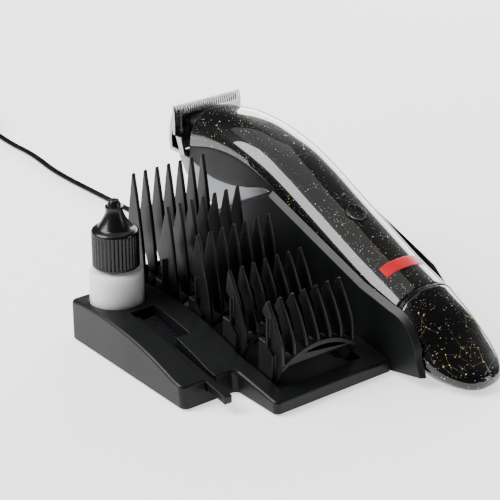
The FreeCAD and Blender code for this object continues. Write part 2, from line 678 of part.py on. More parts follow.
# the fins' tips, from the rear comb to the front one: how far behind the leg, and how high
combTips = [(-1.0, 63.4), (-2.2, 56.6), (0.1, 51.2), (2.6, 43.2), (1.6, 38.9)]
for number in range(1, 6):
    shaped("guide_comb_%d" % number, comb(number))

# ---- dock ---------------------------------------------------------------------------------------
dockFloor = lift + shell
ridge = size("dockRidge")
rise = size("rimRise")


def rimLine(grow):
    """The outline of a dock wall: its rim falls to the foot behind the clipper's tail."""
    out = grow * 0.6
    return [(trayRear, lift), (trayRear, 30.5), (-25.3 - out / 2, ridge + grow),
            (behind(0.878) - out / 3, 29.9 + grow), (behind(1.008) - out / 2, 26.4 + grow),
            (behind(1.080) - out, 22.6 + grow * 0.9, 0), (behind(1.124) - out, 12.0 + grow / 2),
            (behind(1.147) - out, 4.6), (behind(1.011), lift)]


def dockSide(outerX, innerX):
    """One wall of the dock, whose rim slopes up towards the clipper."""
    return Part.makeLoft([sideFace(rimLine(0), outerX).OuterWire,
                          sideFace(rimLine(rise), innerX).OuterWire], True, True)


thick = size("dockWall")
near = dockSide(dockLeft, dockLeft + thick)
far = dockSide(dockRight, dockRight - thick)
# the far wall is cut away beside the tail, so that a hand can lift the clipper there
scoop = sidePlate([(behind(0.85), 34.0), (behind(1.02), 15.5), (behind(1.09), 5.5), (behind(1.3), 5.5),
                   (behind(1.3), 60.0), (behind(0.85), 60.0)], dockRight - thick - 1, dockRight + 1)
far = far.cut(scoop)
floorFront = behind(0.866)
plate = block(dockLeft + 1, dockRight - 1, floorFront, trayRear, lift, dockFloor)
rear = block(dockLeft + 1, dockRight - 1, trayRear - thick, trayRear, lift, bodyAt(trayRear)[3] - 3.5)
ribs = []
for y in (-8.0, -46.0):
    ribs.append(block(dockLeft + 1, dockRight - 1, y, y + thick, lift, bodyAt(y)[3] - 1.2))
reliefX = 95.0
reliefLevel = 7.9
reliefBore = rod(3.0 + size("touch"), 20, Vector(reliefX, trayRear - 10, reliefLevel), Vector(0, 1, 0))
dock = near.fuse([far, plate, rear] + ribs)
shaped("dock", dock.cut(reliefBore).removeSplitter())

neck = rod(3.0, thick, Vector(reliefX, trayRear - thick, reliefLevel), Vector(0, 1, 0))
flange = rod(4.6, 1.6, Vector(reliefX, trayRear - thick - 1.6, reliefLevel), Vector(0, 1, 0))
reliefLong = 14.0
sleeve = Part.makeCone(3.0, size("cordAcross") / 2 + 0.5, reliefLong, Vector(reliefX, trayRear, reliefLevel),
                       Vector(0, 1, 0))
shaped("strain_relief", neck.fuse([flange, sleeve]).removeSplitter())

pinTop = contactLevel + 0.3 - 0.35
pinFoot = dockFloor + 1.2
pinRadius = 1.2
holderTop = dockFloor + 2.4
seat = block(centreX - 10, centreX + 10, contactY - 4, contactY + 4, dockFloor + size("touch"), holderTop)
pins = []
for side in (-1, 1):
    at = Vector(centreX + side * contactX, contactY, dockFloor)
    seat = seat.cut(rod(pinRadius + size("runFit"), 20, at, Vector(0, 0, 1)))
    pins.append(rod(pinRadius, pinTop - pinFoot, at + Vector(0, 0, pinFoot - dockFloor), Vector(0, 0, 1)))
shaped("contact_block", seat)
shaped("contact_pins", Part.makeCompound(pins))
chargeBoard = primitive("Box", "ChargeBoard", Vector(centreX - 11, -38.0, dockFloor + 1.0),
                        Length="22", Width="26", Height="1.4")
finish("charge_board", chargeBoard)

# ---- base plate, screws, feet -------------------------------------------------------------------
inset = shell + size("touch")
left = block(inset, size("recessLeft") - shell - size("touch"), fold + inset, -inset, lift,
             lift + plateThick)
right = block(size("recessLeft") - shell - 1 + size("touch"), trayRight - inset, -size("trayFront") + inset,
              trayRear - inset, lift, lift + plateThick)
cover = left.fuse(right)
baseScrews = []
for x, y in screwSpots:
    at = Vector(x, y, lift)
    cover = cover.cut(rod(size("screwAcross") / 2 + size("touch"), 4, at - Vector(0, 0, 1), Vector(0, 0, 1)))
    cover = cover.cut(rod(size("screwAcross"), 0.7, at - Vector(0, 0, 0.1), Vector(0, 0, 1)))
    head = rod(size("screwAcross") * 0.9, 0.5, at, Vector(0, 0, 1))
    shank = rod(size("screwAcross") / 2, 4.4, at, Vector(0, 0, 1))
    baseScrews.append(head.fuse(shank))
shaped("base_plate", cover.removeSplitter())
shaped("base_screws", Part.makeCompound(baseScrews))
footFront = 9.0 - size("trayFront")
footSpots = [(8.0, -18.0), (8.0, fold + 17.4), (36.0, footFront), (74.0, footFront), (36.0, 4.0), (74.0, 4.0)]
dockFeet = [(centreX, -4.0), (centreX, -66.0)]
feet = []
for x, y in footSpots + dockFeet:
    pad = primitive("Cylinder", "Foot%d" % len(feet), Vector(x, y, 0), Radius="Sizes.footAcross / 2",
                    Height="Sizes.floorLift")
    feet.append(pad)
rubber = doc.addObject("Part::Compound", "Feet")
rubber.Links = feet
finish("feet", rubber)

# ---- oil bottle ---------------------------------------------------------------------------------
bottleRadius = size("bottleAcross") / 2
bottleBase = bottleCentre + Vector(0, 0, gap)
capRadius = size("capAcross") / 2
shoulderTop = size("bottleShoulder") + 1.8
neckRadius = 6.4


def turned(profile, at):
    """Spins a profile of radius and height about the upright axis at a point."""
    points = [at + Vector(r, 0, z) for r, z in profile]
    wire = Part.makePolygon(points + [points[0]])
    return Part.Face(wire).revolve(at, Vector(0, 0, 1), 360)


skin = 1.1
high = size("bottleShoulder")
shaped("oil_bottle", turned(
    [(0, 0), (bottleRadius - 1.2, 0), (bottleRadius, 1.2), (bottleRadius, high - 1.0),
     (bottleRadius - 1.4, high + 0.6), (neckRadius, shoulderTop), (neckRadius, shoulderTop + 8),
     (neckRadius - skin, shoulderTop + 8), (neckRadius - skin, shoulderTop - 0.4),
     (bottleRadius - skin - 1.4, high - 0.6), (bottleRadius - skin, high - 1.6),
     (bottleRadius - skin, 2.0), (bottleRadius - 2.2, skin), (0, skin)], bottleBase))
oilTop = 12.0
shaped("clipper_oil", turned([(0, skin + 0.05), (bottleRadius - 2.3, skin + 0.05),
                              (bottleRadius - skin - 0.05, 2.1), (bottleRadius - skin - 0.05, oilTop),
                              (0, oilTop)], bottleBase))
capBase = bottleBase + Vector(0, 0, shoulderTop + 0.3)
capHigh = size("capHigh")
tipHigh = capHigh + 1.4 + size("nozzleHigh")
cap = turned(
    [(neckRadius + size("touch"), 0), (capRadius - 0.5, 0), (capRadius, 0.5), (capRadius, capHigh - 0.4),
     (capRadius - 0.8, capHigh + 0.8), (capRadius - 2.4, capHigh + 1.6), (size("nozzleAcross") / 2 + 0.9,
     tipHigh - 3.2), (size("nozzleAcross") / 2 + 0.6, tipHigh - 2.6), (size("nozzleAcross") / 2, tipHigh),
     (0.6, tipHigh), (0.6, capHigh - 1.6), (neckRadius + size("touch"), capHigh - 1.6)], capBase)
ribCount = 36
grooves = [rod(0.42, capHigh - 1.6, capBase + Vector(capRadius * math.cos(a), capRadius * math.sin(a), 0.9),
               Vector(0, 0, 1)) for a in [2 * math.pi * i / ribCount for i in range(ribCount)]]
shaped("bottle_cap", cap.cut(Part.makeCompound(grooves)))

# ---- cleaning brush -----------------------------------------------------------------------------
handle = slanted(brushLeft, brushRight, brushRear, headFront, size("brushDeep"), 0)
handle = handle.fuse(slanted(brushLeft, brushRight, headFront + 1, fold - size("brushReach"),
                             size("gripDeep"), 0))
TUFTS = 9
tuftRadius = 0.85
sunk = 1.6          # how deep a tuft sits in its hole
holes = []
tufts = []
for i in range(TUFTS):
    y = brushRear - 2.6 - i * (size("brushHead") - 5.2) / (TUFTS - 1)
    for level in (1.7, 4.5):
        at = Vector(brushRight - sunk, y, brushZ(y) - level)
        holes.append(rod(tuftRadius, size("tuftLong"), at, Vector(1, 0, 0)))
        tufts.append(rod(tuftRadius, size("tuftLong") + sunk, at, Vector(1, 0, 0)))
shaped("brush_handle", handle.removeSplitter().cut(Part.makeCompound(holes)))
shaped("brush_bristles", Part.makeCompound(tufts))

# ---- lead, its coil and the mains adapter -------------------------------------------------------
cordRadius = size("cordAcross") / 2
onFloor = cordRadius + 0.05
leaves = Vector(reliefX, trayRear + reliefLong, reliefLevel)
route = [leaves, Vector(95.2, 42.0, 6.6), Vector(94.6, 58.0, 2.6), Vector(93.4, 76.0, onFloor),
         Vector(92.5, 95.0, onFloor), Vector(92.1, 112.0, onFloor), Vector(91.5, 130.0, onFloor),
         Vector(91.1, 146.0, onFloor), Vector(91.6, 161.0, onFloor), Vector(93.6, 175.0, onFloor),
         Vector(94.8, 188.0, onFloor), Vector(94.2, 203.0, onFloor), Vector(95.2, 219.0, onFloor),
         Vector(95.6, 233.0, onFloor + 1.4), Vector(94.4, 246.0, onFloor + 3.4)]


def bentTube(points, radius):
    """Straight runs joined by tangent arcs as large as the runs allow."""
    edges = []
    start = points[0]
    radii = []
    for a, b, c in zip(points, points[1:], points[2:]):
        into = (b - a).normalize()
        out = (c - b).normalize()
        turn = into.getAngle(out)
        back = 0.45 * min((b - a).Length, (c - b).Length)
        radii.append(back / math.tan(turn / 2))
        first = b - into * back
        last = b + out * back
        aside = (out - into).normalize()
        centre = b + aside * (math.hypot(back, radii[-1]))
        half = centre - aside * radii[-1]
        edges.append(Part.LineSegment(start, first).toShape())
        edges.append(Part.Arc(first, half, last).toShape())
        start = last
    edges.append(Part.LineSegment(start, points[-1]).toShape())
    path = Part.Wire(edges)
    ring = Part.Wire(Part.makeCircle(radius, points[0], (points[1] - points[0]).normalize()))
    tube = path.makePipeShell([ring], True, False)
    print("sharpest bend %.0f mm, length %.0f mm, volume %.0f of %.0f" % (
        min(radii), path.Length, tube.Volume, math.pi * radius ** 2 * path.Length))
    return tube


shaped("cord", bentTube(route, cordRadius))
coilCentre = Vector(reliefX - 0.6 - size("coilMiddle") / 2, 250.0, size("tieThick") + size("touch"))
coilInner = (size("coilMiddle") - size("coilWide")) / 2
coilOuter = (size("coilMiddle") + size("coilWide")) / 2
coil = rod(coilOuter, size("coilHigh"), coilCentre, Vector(0, 0, 1))
coil = coil.cut(rod(coilInner, size("coilHigh") + 2, coilCentre - Vector(0, 0, 1), Vector(0, 0, 1)))
coil = coil.makeFillet(2.4, coil.Edges)
shaped("cord_coil", coil)
tieThick = size("tieThick")
tieX = coilCentre.x - size("coilMiddle") / 2
outerTie = block(tieX - size("coilWide") / 2 - tieThick - 0.1, tieX + size("coilWide") / 2 + tieThick + 0.9,
                 coilCentre.y - 3, coilCentre.y + 3, 0, coilCentre.z + size("coilHigh") + tieThick + 0.1)
innerTie = block(tieX - size("coilWide") / 2 - 0.1, tieX + size("coilWide") / 2 + 0.9,
                 coilCentre.y - 4, coilCentre.y + 4, tieThick, coilCentre.z + size("coilHigh") + 0.1)
shaped("cord_tie", outerTie.cut(innerTie))

adapterX = coilCentre.x
adapterY = coilCentre.y + coilOuter + 26.0
adapterLevel = size("adapterHigh") / 2
lead = [Vector(adapterX + 12.0, coilCentre.y + size("coilMiddle") / 2 + 1.0, coilCentre.z + size("coilHigh") - 3),
        Vector(adapterX + 6.0, coilCentre.y + coilOuter + 5.0, 12.0),
        Vector(adapterX + 1.0, coilCentre.y + coilOuter + 11.0, adapterLevel - 0.4),
        Vector(adapterX, adapterY - 8.0, adapterLevel)]
shaped("cord_end", bentTube(lead, cordRadius))
wide = size("adapterWide")
case = block(adapterX - wide / 2, adapterX + wide / 2, adapterY, adapterY + size("adapterLong"), 0,
             size("adapterHigh"))
case = case.makeFillet(3.0, [e for e in case.Edges if e.BoundBox.YLength > size("adapterLong") - 1])
case = case.makeFillet(1.2, [e for e in case.Edges if e.BoundBox.YLength < 0.01])
bootHole = rod(2.6, 4, Vector(adapterX, adapterY - 1, adapterLevel), Vector(0, 1, 0))
prongs = []
prongHoles = []
for side in (-1, 1):
    at = Vector(adapterX + side * size("prongPitch") / 2, adapterY + size("adapterLong") - 5, adapterLevel)
    prong = rod(size("prongAcross") / 2, size("prongLong") + 5, at, Vector(0, 1, 0))
    end = prong.Edges[[e.BoundBox.YMin for e in prong.Edges].index(max(e.BoundBox.YMin for e in prong.Edges))]
    prongs.append(prong.makeFillet(1.4, [end]))
    prongHoles.append(rod(size("prongAcross") / 2, 12, at, Vector(0, 1, 0)))
shaped("adapter_case", case.cut(bootHole).cut(prongHoles[0]).cut(prongHoles[1]))
shaped("adapter_prongs", Part.makeCompound(prongs))
shaped("adapter_boot", Part.makeCone(2.2, 2.6, 11, Vector(adapterX, adapterY - 8, adapterLevel),
                                     Vector(0, 1, 0)))

doc.recompute()
for thing in doc.Objects:
    if "Invalid" in thing.State or "Error" in thing.State:
        raise RuntimeError("%s failed: %s" % (thing.Name, thing.State))
os.makedirs("parts", exist_ok=True)
for thing in subParts:
    if thing.Shape.isNull() or not thing.Shape.isValid():
        raise RuntimeError("%s has no valid shape" % thing.Label)
    thing.Shape.exportStep("parts/%s.step" % thing.Label)
print("%d sub-parts written" % len(subParts))
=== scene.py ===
import bmesh
import bpy
import math
import random
from mathutils import Matrix, Vector


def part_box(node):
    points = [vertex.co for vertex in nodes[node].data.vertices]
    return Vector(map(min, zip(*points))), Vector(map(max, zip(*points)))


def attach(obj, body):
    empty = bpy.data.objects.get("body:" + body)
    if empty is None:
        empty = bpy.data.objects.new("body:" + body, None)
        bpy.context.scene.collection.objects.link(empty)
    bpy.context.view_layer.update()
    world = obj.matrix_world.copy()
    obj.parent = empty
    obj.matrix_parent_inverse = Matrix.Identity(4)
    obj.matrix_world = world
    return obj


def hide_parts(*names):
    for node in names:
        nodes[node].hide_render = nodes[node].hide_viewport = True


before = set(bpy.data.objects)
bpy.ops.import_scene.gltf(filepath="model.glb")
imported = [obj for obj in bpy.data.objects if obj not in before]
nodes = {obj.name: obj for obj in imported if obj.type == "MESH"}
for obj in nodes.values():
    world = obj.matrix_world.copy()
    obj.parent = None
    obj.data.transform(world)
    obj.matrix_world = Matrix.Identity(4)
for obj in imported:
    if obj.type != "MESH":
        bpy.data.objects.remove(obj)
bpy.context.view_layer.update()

mm = 0.001
standLow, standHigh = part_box("stand_top")
trayRear = 14.0         # mm that the comb tray reaches behind the stand's corner


def fromStand(x, y, z):
    # a place in mm from the rear left corner of the stand's block, in the frame's metres
    return Vector((standLow.x, standHigh.y - trayRear * mm, 0)) + Vector((x, y, z)) * mm



# helpers for picking, editing and finishing a piece
def pickOnly(piece):
    bpy.ops.object.select_all(action="DESELECT")
    piece.select_set(True)
    bpy.context.view_layer.objects.active = piece


def modify(piece, kind, **settings):
    modifier = piece.modifiers.new(kind.title(), kind)
    for key, value in settings.items():
        setattr(modifier, key, value)
    pickOnly(piece)
    bpy.ops.object.modifier_apply(modifier=modifier.name)


def startEdit(piece, kind="FACE", wanted=None):
    # opens the piece in edit mode with only the wanted verts, edges or faces selected
    pickOnly(piece)
    bpy.ops.object.mode_set(mode="EDIT")
    bpy.ops.mesh.select_mode(type=kind)
    if wanted is None:
        bpy.ops.mesh.select_all(action="SELECT")
        return
    bpy.ops.mesh.select_all(action="DESELECT")
    mesh = bmesh.from_edit_mesh(piece.data)
    for part in {"VERT": mesh.verts, "EDGE": mesh.edges, "FACE": mesh.faces}[kind]:
        if wanted(part):
            part.select_set(True)
    bmesh.update_edit_mesh(piece.data)


def endEdit():
    bpy.ops.object.mode_set(mode="OBJECT")


def settle(piece):
    # puts the piece's place into its mesh
    pickOnly(piece)
    bpy.ops.object.transform_apply(location=True, rotation=True, scale=True)


def smooth(piece, angle=35):
    pickOnly(piece)
    bpy.ops.object.shade_smooth_by_angle(angle=math.radians(angle))


def join(pieces, name):
    bpy.ops.object.select_all(action="DESELECT")
    for piece in pieces:
        piece.select_set(True)
    bpy.context.view_layer.objects.active = pieces[0]
    bpy.ops.object.join()
    pieces[0].name = name
    return pieces[0]


def place(piece, material, body, slot, replaced=()):
    piece.data.materials.clear()
    piece.data.materials.append(material)
    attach(piece, body)
    if replaced:
        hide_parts(*replaced)
    return piece


# weld in mm, angles in degrees: below flat two faces are one, above broken an edge is rounded
copyFacts = {"weld": 0.01, "flat": 1.0, "broken": 32, "smooth": 40}


def roundedCopy(node, name, radius, segments=2):
    # a CAD node's shape with its flat faces whole again and its edges broken
    piece = bpy.data.objects.new(name, nodes[node].data.copy())
    bpy.context.scene.collection.objects.link(piece)
    startEdit(piece)
    bpy.ops.mesh.remove_doubles(threshold=copyFacts["weld"] * mm)
    bpy.ops.mesh.dissolve_limited(angle_limit=math.radians(copyFacts["flat"]))
    endEdit()
    modify(piece, "BEVEL", width=radius, segments=segments, limit_method="ANGLE",
           angle_limit=math.radians(copyFacts["broken"]), use_clamp_overlap=False)
    smooth(piece, copyFacts["smooth"])
    modify(piece, "WEIGHTED_NORMAL", keep_sharp=True)
    return piece


# ---- camera and cords ----
camera = {"at": (-332.5, -544.6, 326.1), "turn": -38.02, "down": 24.32, "lens": 124.67}
bpy.ops.object.camera_add(location=fromStand(*camera["at"]), rotation=(
    math.radians(90 - camera["down"]), 0, math.radians(camera["turn"])))
bpy.context.object.data.lens = camera["lens"]
bpy.context.object.data.clip_start = 0.01
bpy.context.scene.camera = bpy.context.object

cordFacts = {
    "width": 3.4,               # flat two-core lead
    "core": 1.72,               # across one core
    "length": 1.80,             # metres
    # across from the coil's middle to each turn, one layer of three turns after another
    "turns": [25.9, 22.3, 18.7, 18.9, 22.4, 25.8, 25.6, 22.1, 18.8, 19.0, 22.5, 25.9],
    "turnsMade": 11.15,
    "coilAt": (72.4, 250.0),
    "layerHigh": 2.9,
    "coilLow": 2.75,
    "stepsPerTurn": 14,
}
route = [(95.0, 28.0, 7.9), (95.2, 42.0, 6.6), (94.6, 58.0, 2.6), (93.4, 76.0, 1.75), (92.5, 95.0, 1.75),
         (92.1, 112.0, 1.75), (91.5, 130.0, 1.75), (91.1, 146.0, 1.75), (91.6, 161.0, 1.75),
         (93.6, 175.0, 1.75), (94.8, 188.0, 1.75), (94.2, 203.0, 1.75), (95.2, 219.0, 1.75),
         (95.8, 233.0, 2.4)]
leadOut = [(84.4, 273.0, 12.4), (78.4, 282.5, 12.5), (73.6, 288.6, 12.8), (72.4, 295.5, 13.0)]


def coilPoints():
    # a turn keeps its radius and layer for most of its way round, and then moves to the next one's
    facts = cordFacts
    radii = facts["turns"]
    points = []
    for i in range(int(facts["turnsMade"] * facts["stepsPerTurn"]) + 1):
        turn, share = divmod(i / facts["stepsPerTurn"], 1)
        now, after = int(turn), min(int(turn) + 1, len(radii) - 1)
        shift = max(0.0, (share - 0.6) / 0.4)
        radius = radii[now] + (radii[after] - radii[now]) * shift
        layer = now // 3 + (after // 3 - now // 3) * shift
        angle = 2 * math.pi * (turn + share) + 0.12
        points.append((facts["coilAt"][0] + radius * math.cos(angle),
                       facts["coilAt"][1] + radius * math.sin(angle),
                       facts["coilLow"] + facts["layerHigh"] * layer))
    return points


def nurbsLine(name, points):
    curve = bpy.data.curves.new(name, "CURVE")
    curve.dimensions = "3D"
    spline = curve.splines.new("NURBS")
    spline.points.add(len(points) - 1)
    for point, at in zip(spline.points, points):
        point.co = (*fromStand(*at), 1)
    spline.order_u = 3
    spline.use_endpoint_u = True
    spline.resolution_u = 6
    piece = bpy.data.objects.new(name, curve)
    bpy.context.scene.collection.objects.link(piece)
    return piece


def pathOf(piece):
    # the spline's own line, as points along it
    bpy.context.view_layer.update()
    mesh = bpy.data.meshes.new_from_object(piece.evaluated_get(bpy.context.evaluated_depsgraph_get()))
    return [vertex.co.copy() for vertex in mesh.vertices]


def twoCoreLead(name, path, width, core):
    # the section is two cores side by side with a waist between them, and it lies flat
    outline = []
    for side in (1, -1):
        for i in range(9):
            angle = side * math.pi / 2 - side * math.pi * i / 8 + (math.pi if side < 0 else 0)
            outline.append((side * (width - core) / 2 + core / 2 * math.cos(angle),
                            core / 2 * math.sin(angle)))
    waist = 0.5 * core / 2
    outline.insert(9, (0, -waist))
    outline.append((0, waist))
    mesh = bpy.data.meshes.new(name)
    rings = []
    for i, at in enumerate(path):
        along = (path[min(i + 1, len(path) - 1)] - path[max(i - 1, 0)]).normalized()
        across = along.cross(Vector((0, 0, 1))).normalized()
        up = across.cross(along)
        rings.append([at + across * x * mm + up * z * mm for x, z in outline])
    count = len(outline)
    faces = [[i * count + j, i * count + (j + 1) % count, (i + 1) * count + (j + 1) % count,
              (i + 1) * count + j] for i in range(len(rings) - 1) for j in range(count)]
    faces += [list(range(count))[::-1], [(len(rings) - 1) * count + j for j in range(count)]]
    mesh.from_pydata([tuple(v) for ring in rings for v in ring], [], faces)
    piece = bpy.data.objects.new(name, mesh)
    bpy.context.scene.collection.objects.link(piece)
    startEdit(piece)
    bpy.ops.mesh.normals_make_consistent(inside=False)
    endEdit()
    smooth(piece, 50)
    return piece


cordLine = nurbsLine("cordLine", route + coilPoints() + leadOut)
cordPath = pathOf(cordLine)
bpy.data.objects.remove(cordLine)
lead = twoCoreLead("mainsLead", cordPath, cordFacts["width"], cordFacts["core"])
cordLength = sum((b - a).length for a, b in zip(cordPath, cordPath[1:]))
print("cord laid, %.3f m" % cordLength)


# ---- materials ----
def linear(hexColour):
    # sRGB hex to the linear colour that the shader takes
    values = [int(hexColour[i:i + 2], 16) / 255 for i in (1, 3, 5)]
    return tuple(v / 12.92 if v < 0.04045 else ((v + 0.055) / 1.055) ** 2.4 for v in values) + (1,)


def addNode(tree, kind, settings):
    # settings name a node's property or an input, and an input takes a value or another node's output
    node = tree.nodes.new("ShaderNode" + kind)
    for key, value in settings.items():
        if isinstance(key, str) and key not in node.inputs:
            setattr(node, key, value)
        elif isinstance(value, bpy.types.NodeSocket):
            tree.links.new(value, node.inputs[key])
        else:
            node.inputs[key].default_value = value
    return node


def newMaterial(name, settings):
    material = bpy.data.materials.new(name)
    material.use_nodes = True
    tree = material.node_tree
    tree.nodes.clear()
    shader = addNode(tree, "BsdfPrincipled", settings)
    addNode(tree, "OutputMaterial", {"Surface": shader.outputs["BSDF"]})
    coords = addNode(tree, "TexCoord", {})
    return material, tree, shader, coords.outputs["Object"]


def mouldedPlastic(name, look, **more):
    # colour drifts a little over `drift` mm, gloss with it, and the mould's grain is the bump
    material, tree, shader, at = newMaterial(name, more)
    drift = addNode(tree, "TexNoise", {"Vector": at, "Scale": 1 / (look["drift"] * mm), "Detail": 4.0,
                                       "Roughness": 0.6})
    grain = addNode(tree, "TexNoise", {"Vector": at, "Scale": 1 / (look["grain"] * mm), "Detail": 2.0})
    shades = addNode(tree, "Mix", {"data_type": "RGBA", 0: drift.outputs["Fac"],
                                   6: linear(look["dark"]), 7: linear(look["light"])})
    gloss = addNode(tree, "MapRange", {"Value": drift.outputs["Fac"], "From Min": 0.3, "From Max": 0.7,
                                       "To Min": look["rough"][0], "To Max": look["rough"][1]})
    bump = addNode(tree, "Bump", {"Height": grain.outputs["Fac"], "Distance": look["depth"] * mm,
                                  "Strength": look.get("strength", 0.5)})
    tree.links.new(shades.outputs[2], shader.inputs["Base Color"])
    tree.links.new(gloss.outputs["Result"], shader.inputs["Roughness"])
    tree.links.new(bump.outputs["Normal"], shader.inputs["Normal"])
    return material


def workedMetal(name, look, **more):
    # grinding or drawing lines run along one axis: the pattern is stretched that way
    material, tree, shader, at = newMaterial(name, dict(more, Metallic=1.0))
    stretch = [1 / (look["line"] * mm)] * 3
    stretch["XYZ".index(look["along"])] = 1 / (look["run"] * mm)
    lay = addNode(tree, "Mapping", {"Vector": at, "Scale": stretch})
    lines = addNode(tree, "TexNoise", {"Vector": lay.outputs["Vector"], "Scale": 1.0, "Detail": 3.0})
    stain = addNode(tree, "TexNoise", {"Vector": at, "Scale": 1 / (8 * mm), "Detail": 3.0})
    shades = addNode(tree, "Mix", {"data_type": "RGBA", 0: lines.outputs["Fac"],
                                   6: linear(look["dark"]), 7: linear(look["light"])})
    gloss = addNode(tree, "MapRange", {"Value": stain.outputs["Fac"], "From Min": 0.3, "From Max": 0.7,
                                       "To Min": look["rough"][0], "To Max": look["rough"][1]})
    bump = addNode(tree, "Bump", {"Height": lines.outputs["Fac"], "Distance": look["depth"] * mm,
                                  "Strength": 0.4})
    tree.links.new(shades.outputs[2], shader.inputs["Base Color"])
    tree.links.new(gloss.outputs["Result"], shader.inputs["Roughness"])
    tree.links.new(bump.outputs["Normal"], shader.inputs["Normal"])
    return material


# spark-eroded ABS: satin black, with a grain that softens its highlights
blackAbs = mouldedPlastic("satinBlackAbs", {
    "dark": "#0B0C0D", "light": "#121314", "drift": 22, "grain": 0.35, "depth": 0.010,
    "rough": (0.34, 0.44)}, **{"Specular IOR Level": 0.2})
# nylon is a little waxy and shows the flow of the melt along the fins
blackNylon = mouldedPlastic("blackNylon", {
    "dark": "#0A0A0B", "light": "#111112", "drift": 6, "grain": 0.25, "depth": 0.008,
    "rough": (0.30, 0.40)}, **{"Specular IOR Level": 0.2})
# fine-textured PC-ABS on the side of the clipper
darkBand = mouldedPlastic("texturedPcAbs", {
    "dark": "#070708", "light": "#0B0B0C", "drift": 9, "grain": 0.30, "depth": 0.012,
    "rough": (0.42, 0.50)}, **{"Specular IOR Level": 0.12})
# ABS sprayed with a satin aluminium lacquer: fine flake under a soft shine
silverLacquer = mouldedPlastic("silverLacqueredAbs", {
    "dark": "#606166", "light": "#797A7F", "drift": 0.5, "grain": 0.30, "depth": 0.006,
    "rough": (0.30, 0.38)}, IOR=1.5, Metallic=0.75)
ringAbs = mouldedPlastic("polishedBlackAbs", {
    "dark": "#101011", "light": "#18181A", "drift": 12, "grain": 0.5, "depth": 0.004,
    "rough": (0.14, 0.22)}, IOR=1.53)
redVinyl = mouldedPlastic("redVinylLabel", {
    "dark": "#C00A1A", "light": "#D41122", "drift": 5, "grain": 0.4, "depth": 0.004,
    "rough": (0.32, 0.42)}, **{"Specular IOR Level": 0.25})
capPlastic = mouldedPlastic("glossyBlackPolypropylene", {
    "dark": "#0B0B0C", "light": "#121213", "drift": 7, "grain": 0.8, "depth": 0.01,
    "rough": (0.22, 0.30)}, **{"Specular IOR Level": 0.3})
pomPlastic = mouldedPlastic("whiteAcetal", {
    "dark": "#DEDCD4", "light": "#EEECE6", "drift": 4, "grain": 0.4, "depth": 0.006,
    "rough": (0.30, 0.40)}, IOR=1.48)
rubber = mouldedPlastic("blackRubber", {
    "dark": "#121212", "light": "#1D1D1D", "drift": 3, "grain": 0.3, "depth": 0.02,
    "rough": (0.62, 0.78)}, IOR=1.5)
cordVinyl = mouldedPlastic("blackPvcSheath", {
    "dark": "#0D0D0E", "light": "#151516", "drift": 14, "grain": 0.9, "depth": 0.008,
    "rough": (0.16, 0.26)}, IOR=1.54)
bristleNylon = mouldedPlastic("greyNylonFilament", {
    "dark": "#141518", "light": "#303238", "drift": 1.1, "grain": 0.2, "depth": 0.004,
    "rough": (0.30, 0.42)}, IOR=1.53)
wrapPvc = mouldedPlastic("heatShrinkPvc", {
    "dark": "#1B4C8C", "light": "#2460A8", "drift": 8, "grain": 1.2, "depth": 0.02,
    "rough": (0.22, 0.32)}, IOR=1.54)
laminate = mouldedPlastic("glassEpoxyLaminate", {
    "dark": "#134A2B", "light": "#1C6238", "drift": 2.5, "grain": 0.4, "depth": 0.01,
    "rough": (0.28, 0.38)}, IOR=1.55)
# cutlery steel, ground across the blade
groundSteel = workedMetal("groundCutlerySteel", {
    "dark": "#8B8C8F", "light": "#B6B7BA", "line": 0.12, "run": 9, "along": "X", "depth": 0.004,
    "rough": (0.20, 0.30)})
stampedSteel = workedMetal("stampedStainlessSteel", {
    "dark": "#8A8B8E", "light": "#ACADB0", "line": 0.2, "run": 6, "along": "Z", "depth": 0.004,
    "rough": (0.28, 0.36)})
screwSteel = workedMetal("nickelPlatedSteel", {
    "dark": "#A8A49C", "light": "#C6C2BA", "line": 0.3, "run": 0.6, "along": "Y", "depth": 0.004,
    "rough": (0.22, 0.30)})
motorSteel = workedMetal("zincPlatedSteel", {
    "dark": "#9A9C9E", "light": "#B9BBBD", "line": 0.25, "run": 7, "along": "Y", "depth": 0.006,
    "rough": (0.30, 0.40)})
contactGold = workedMetal("goldPlatedBrass", {
    "dark": "#C99A3C", "light": "#E6BE62", "line": 0.2, "run": 0.5, "along": "Z", "depth": 0.003,
    "rough": (0.18, 0.26)})


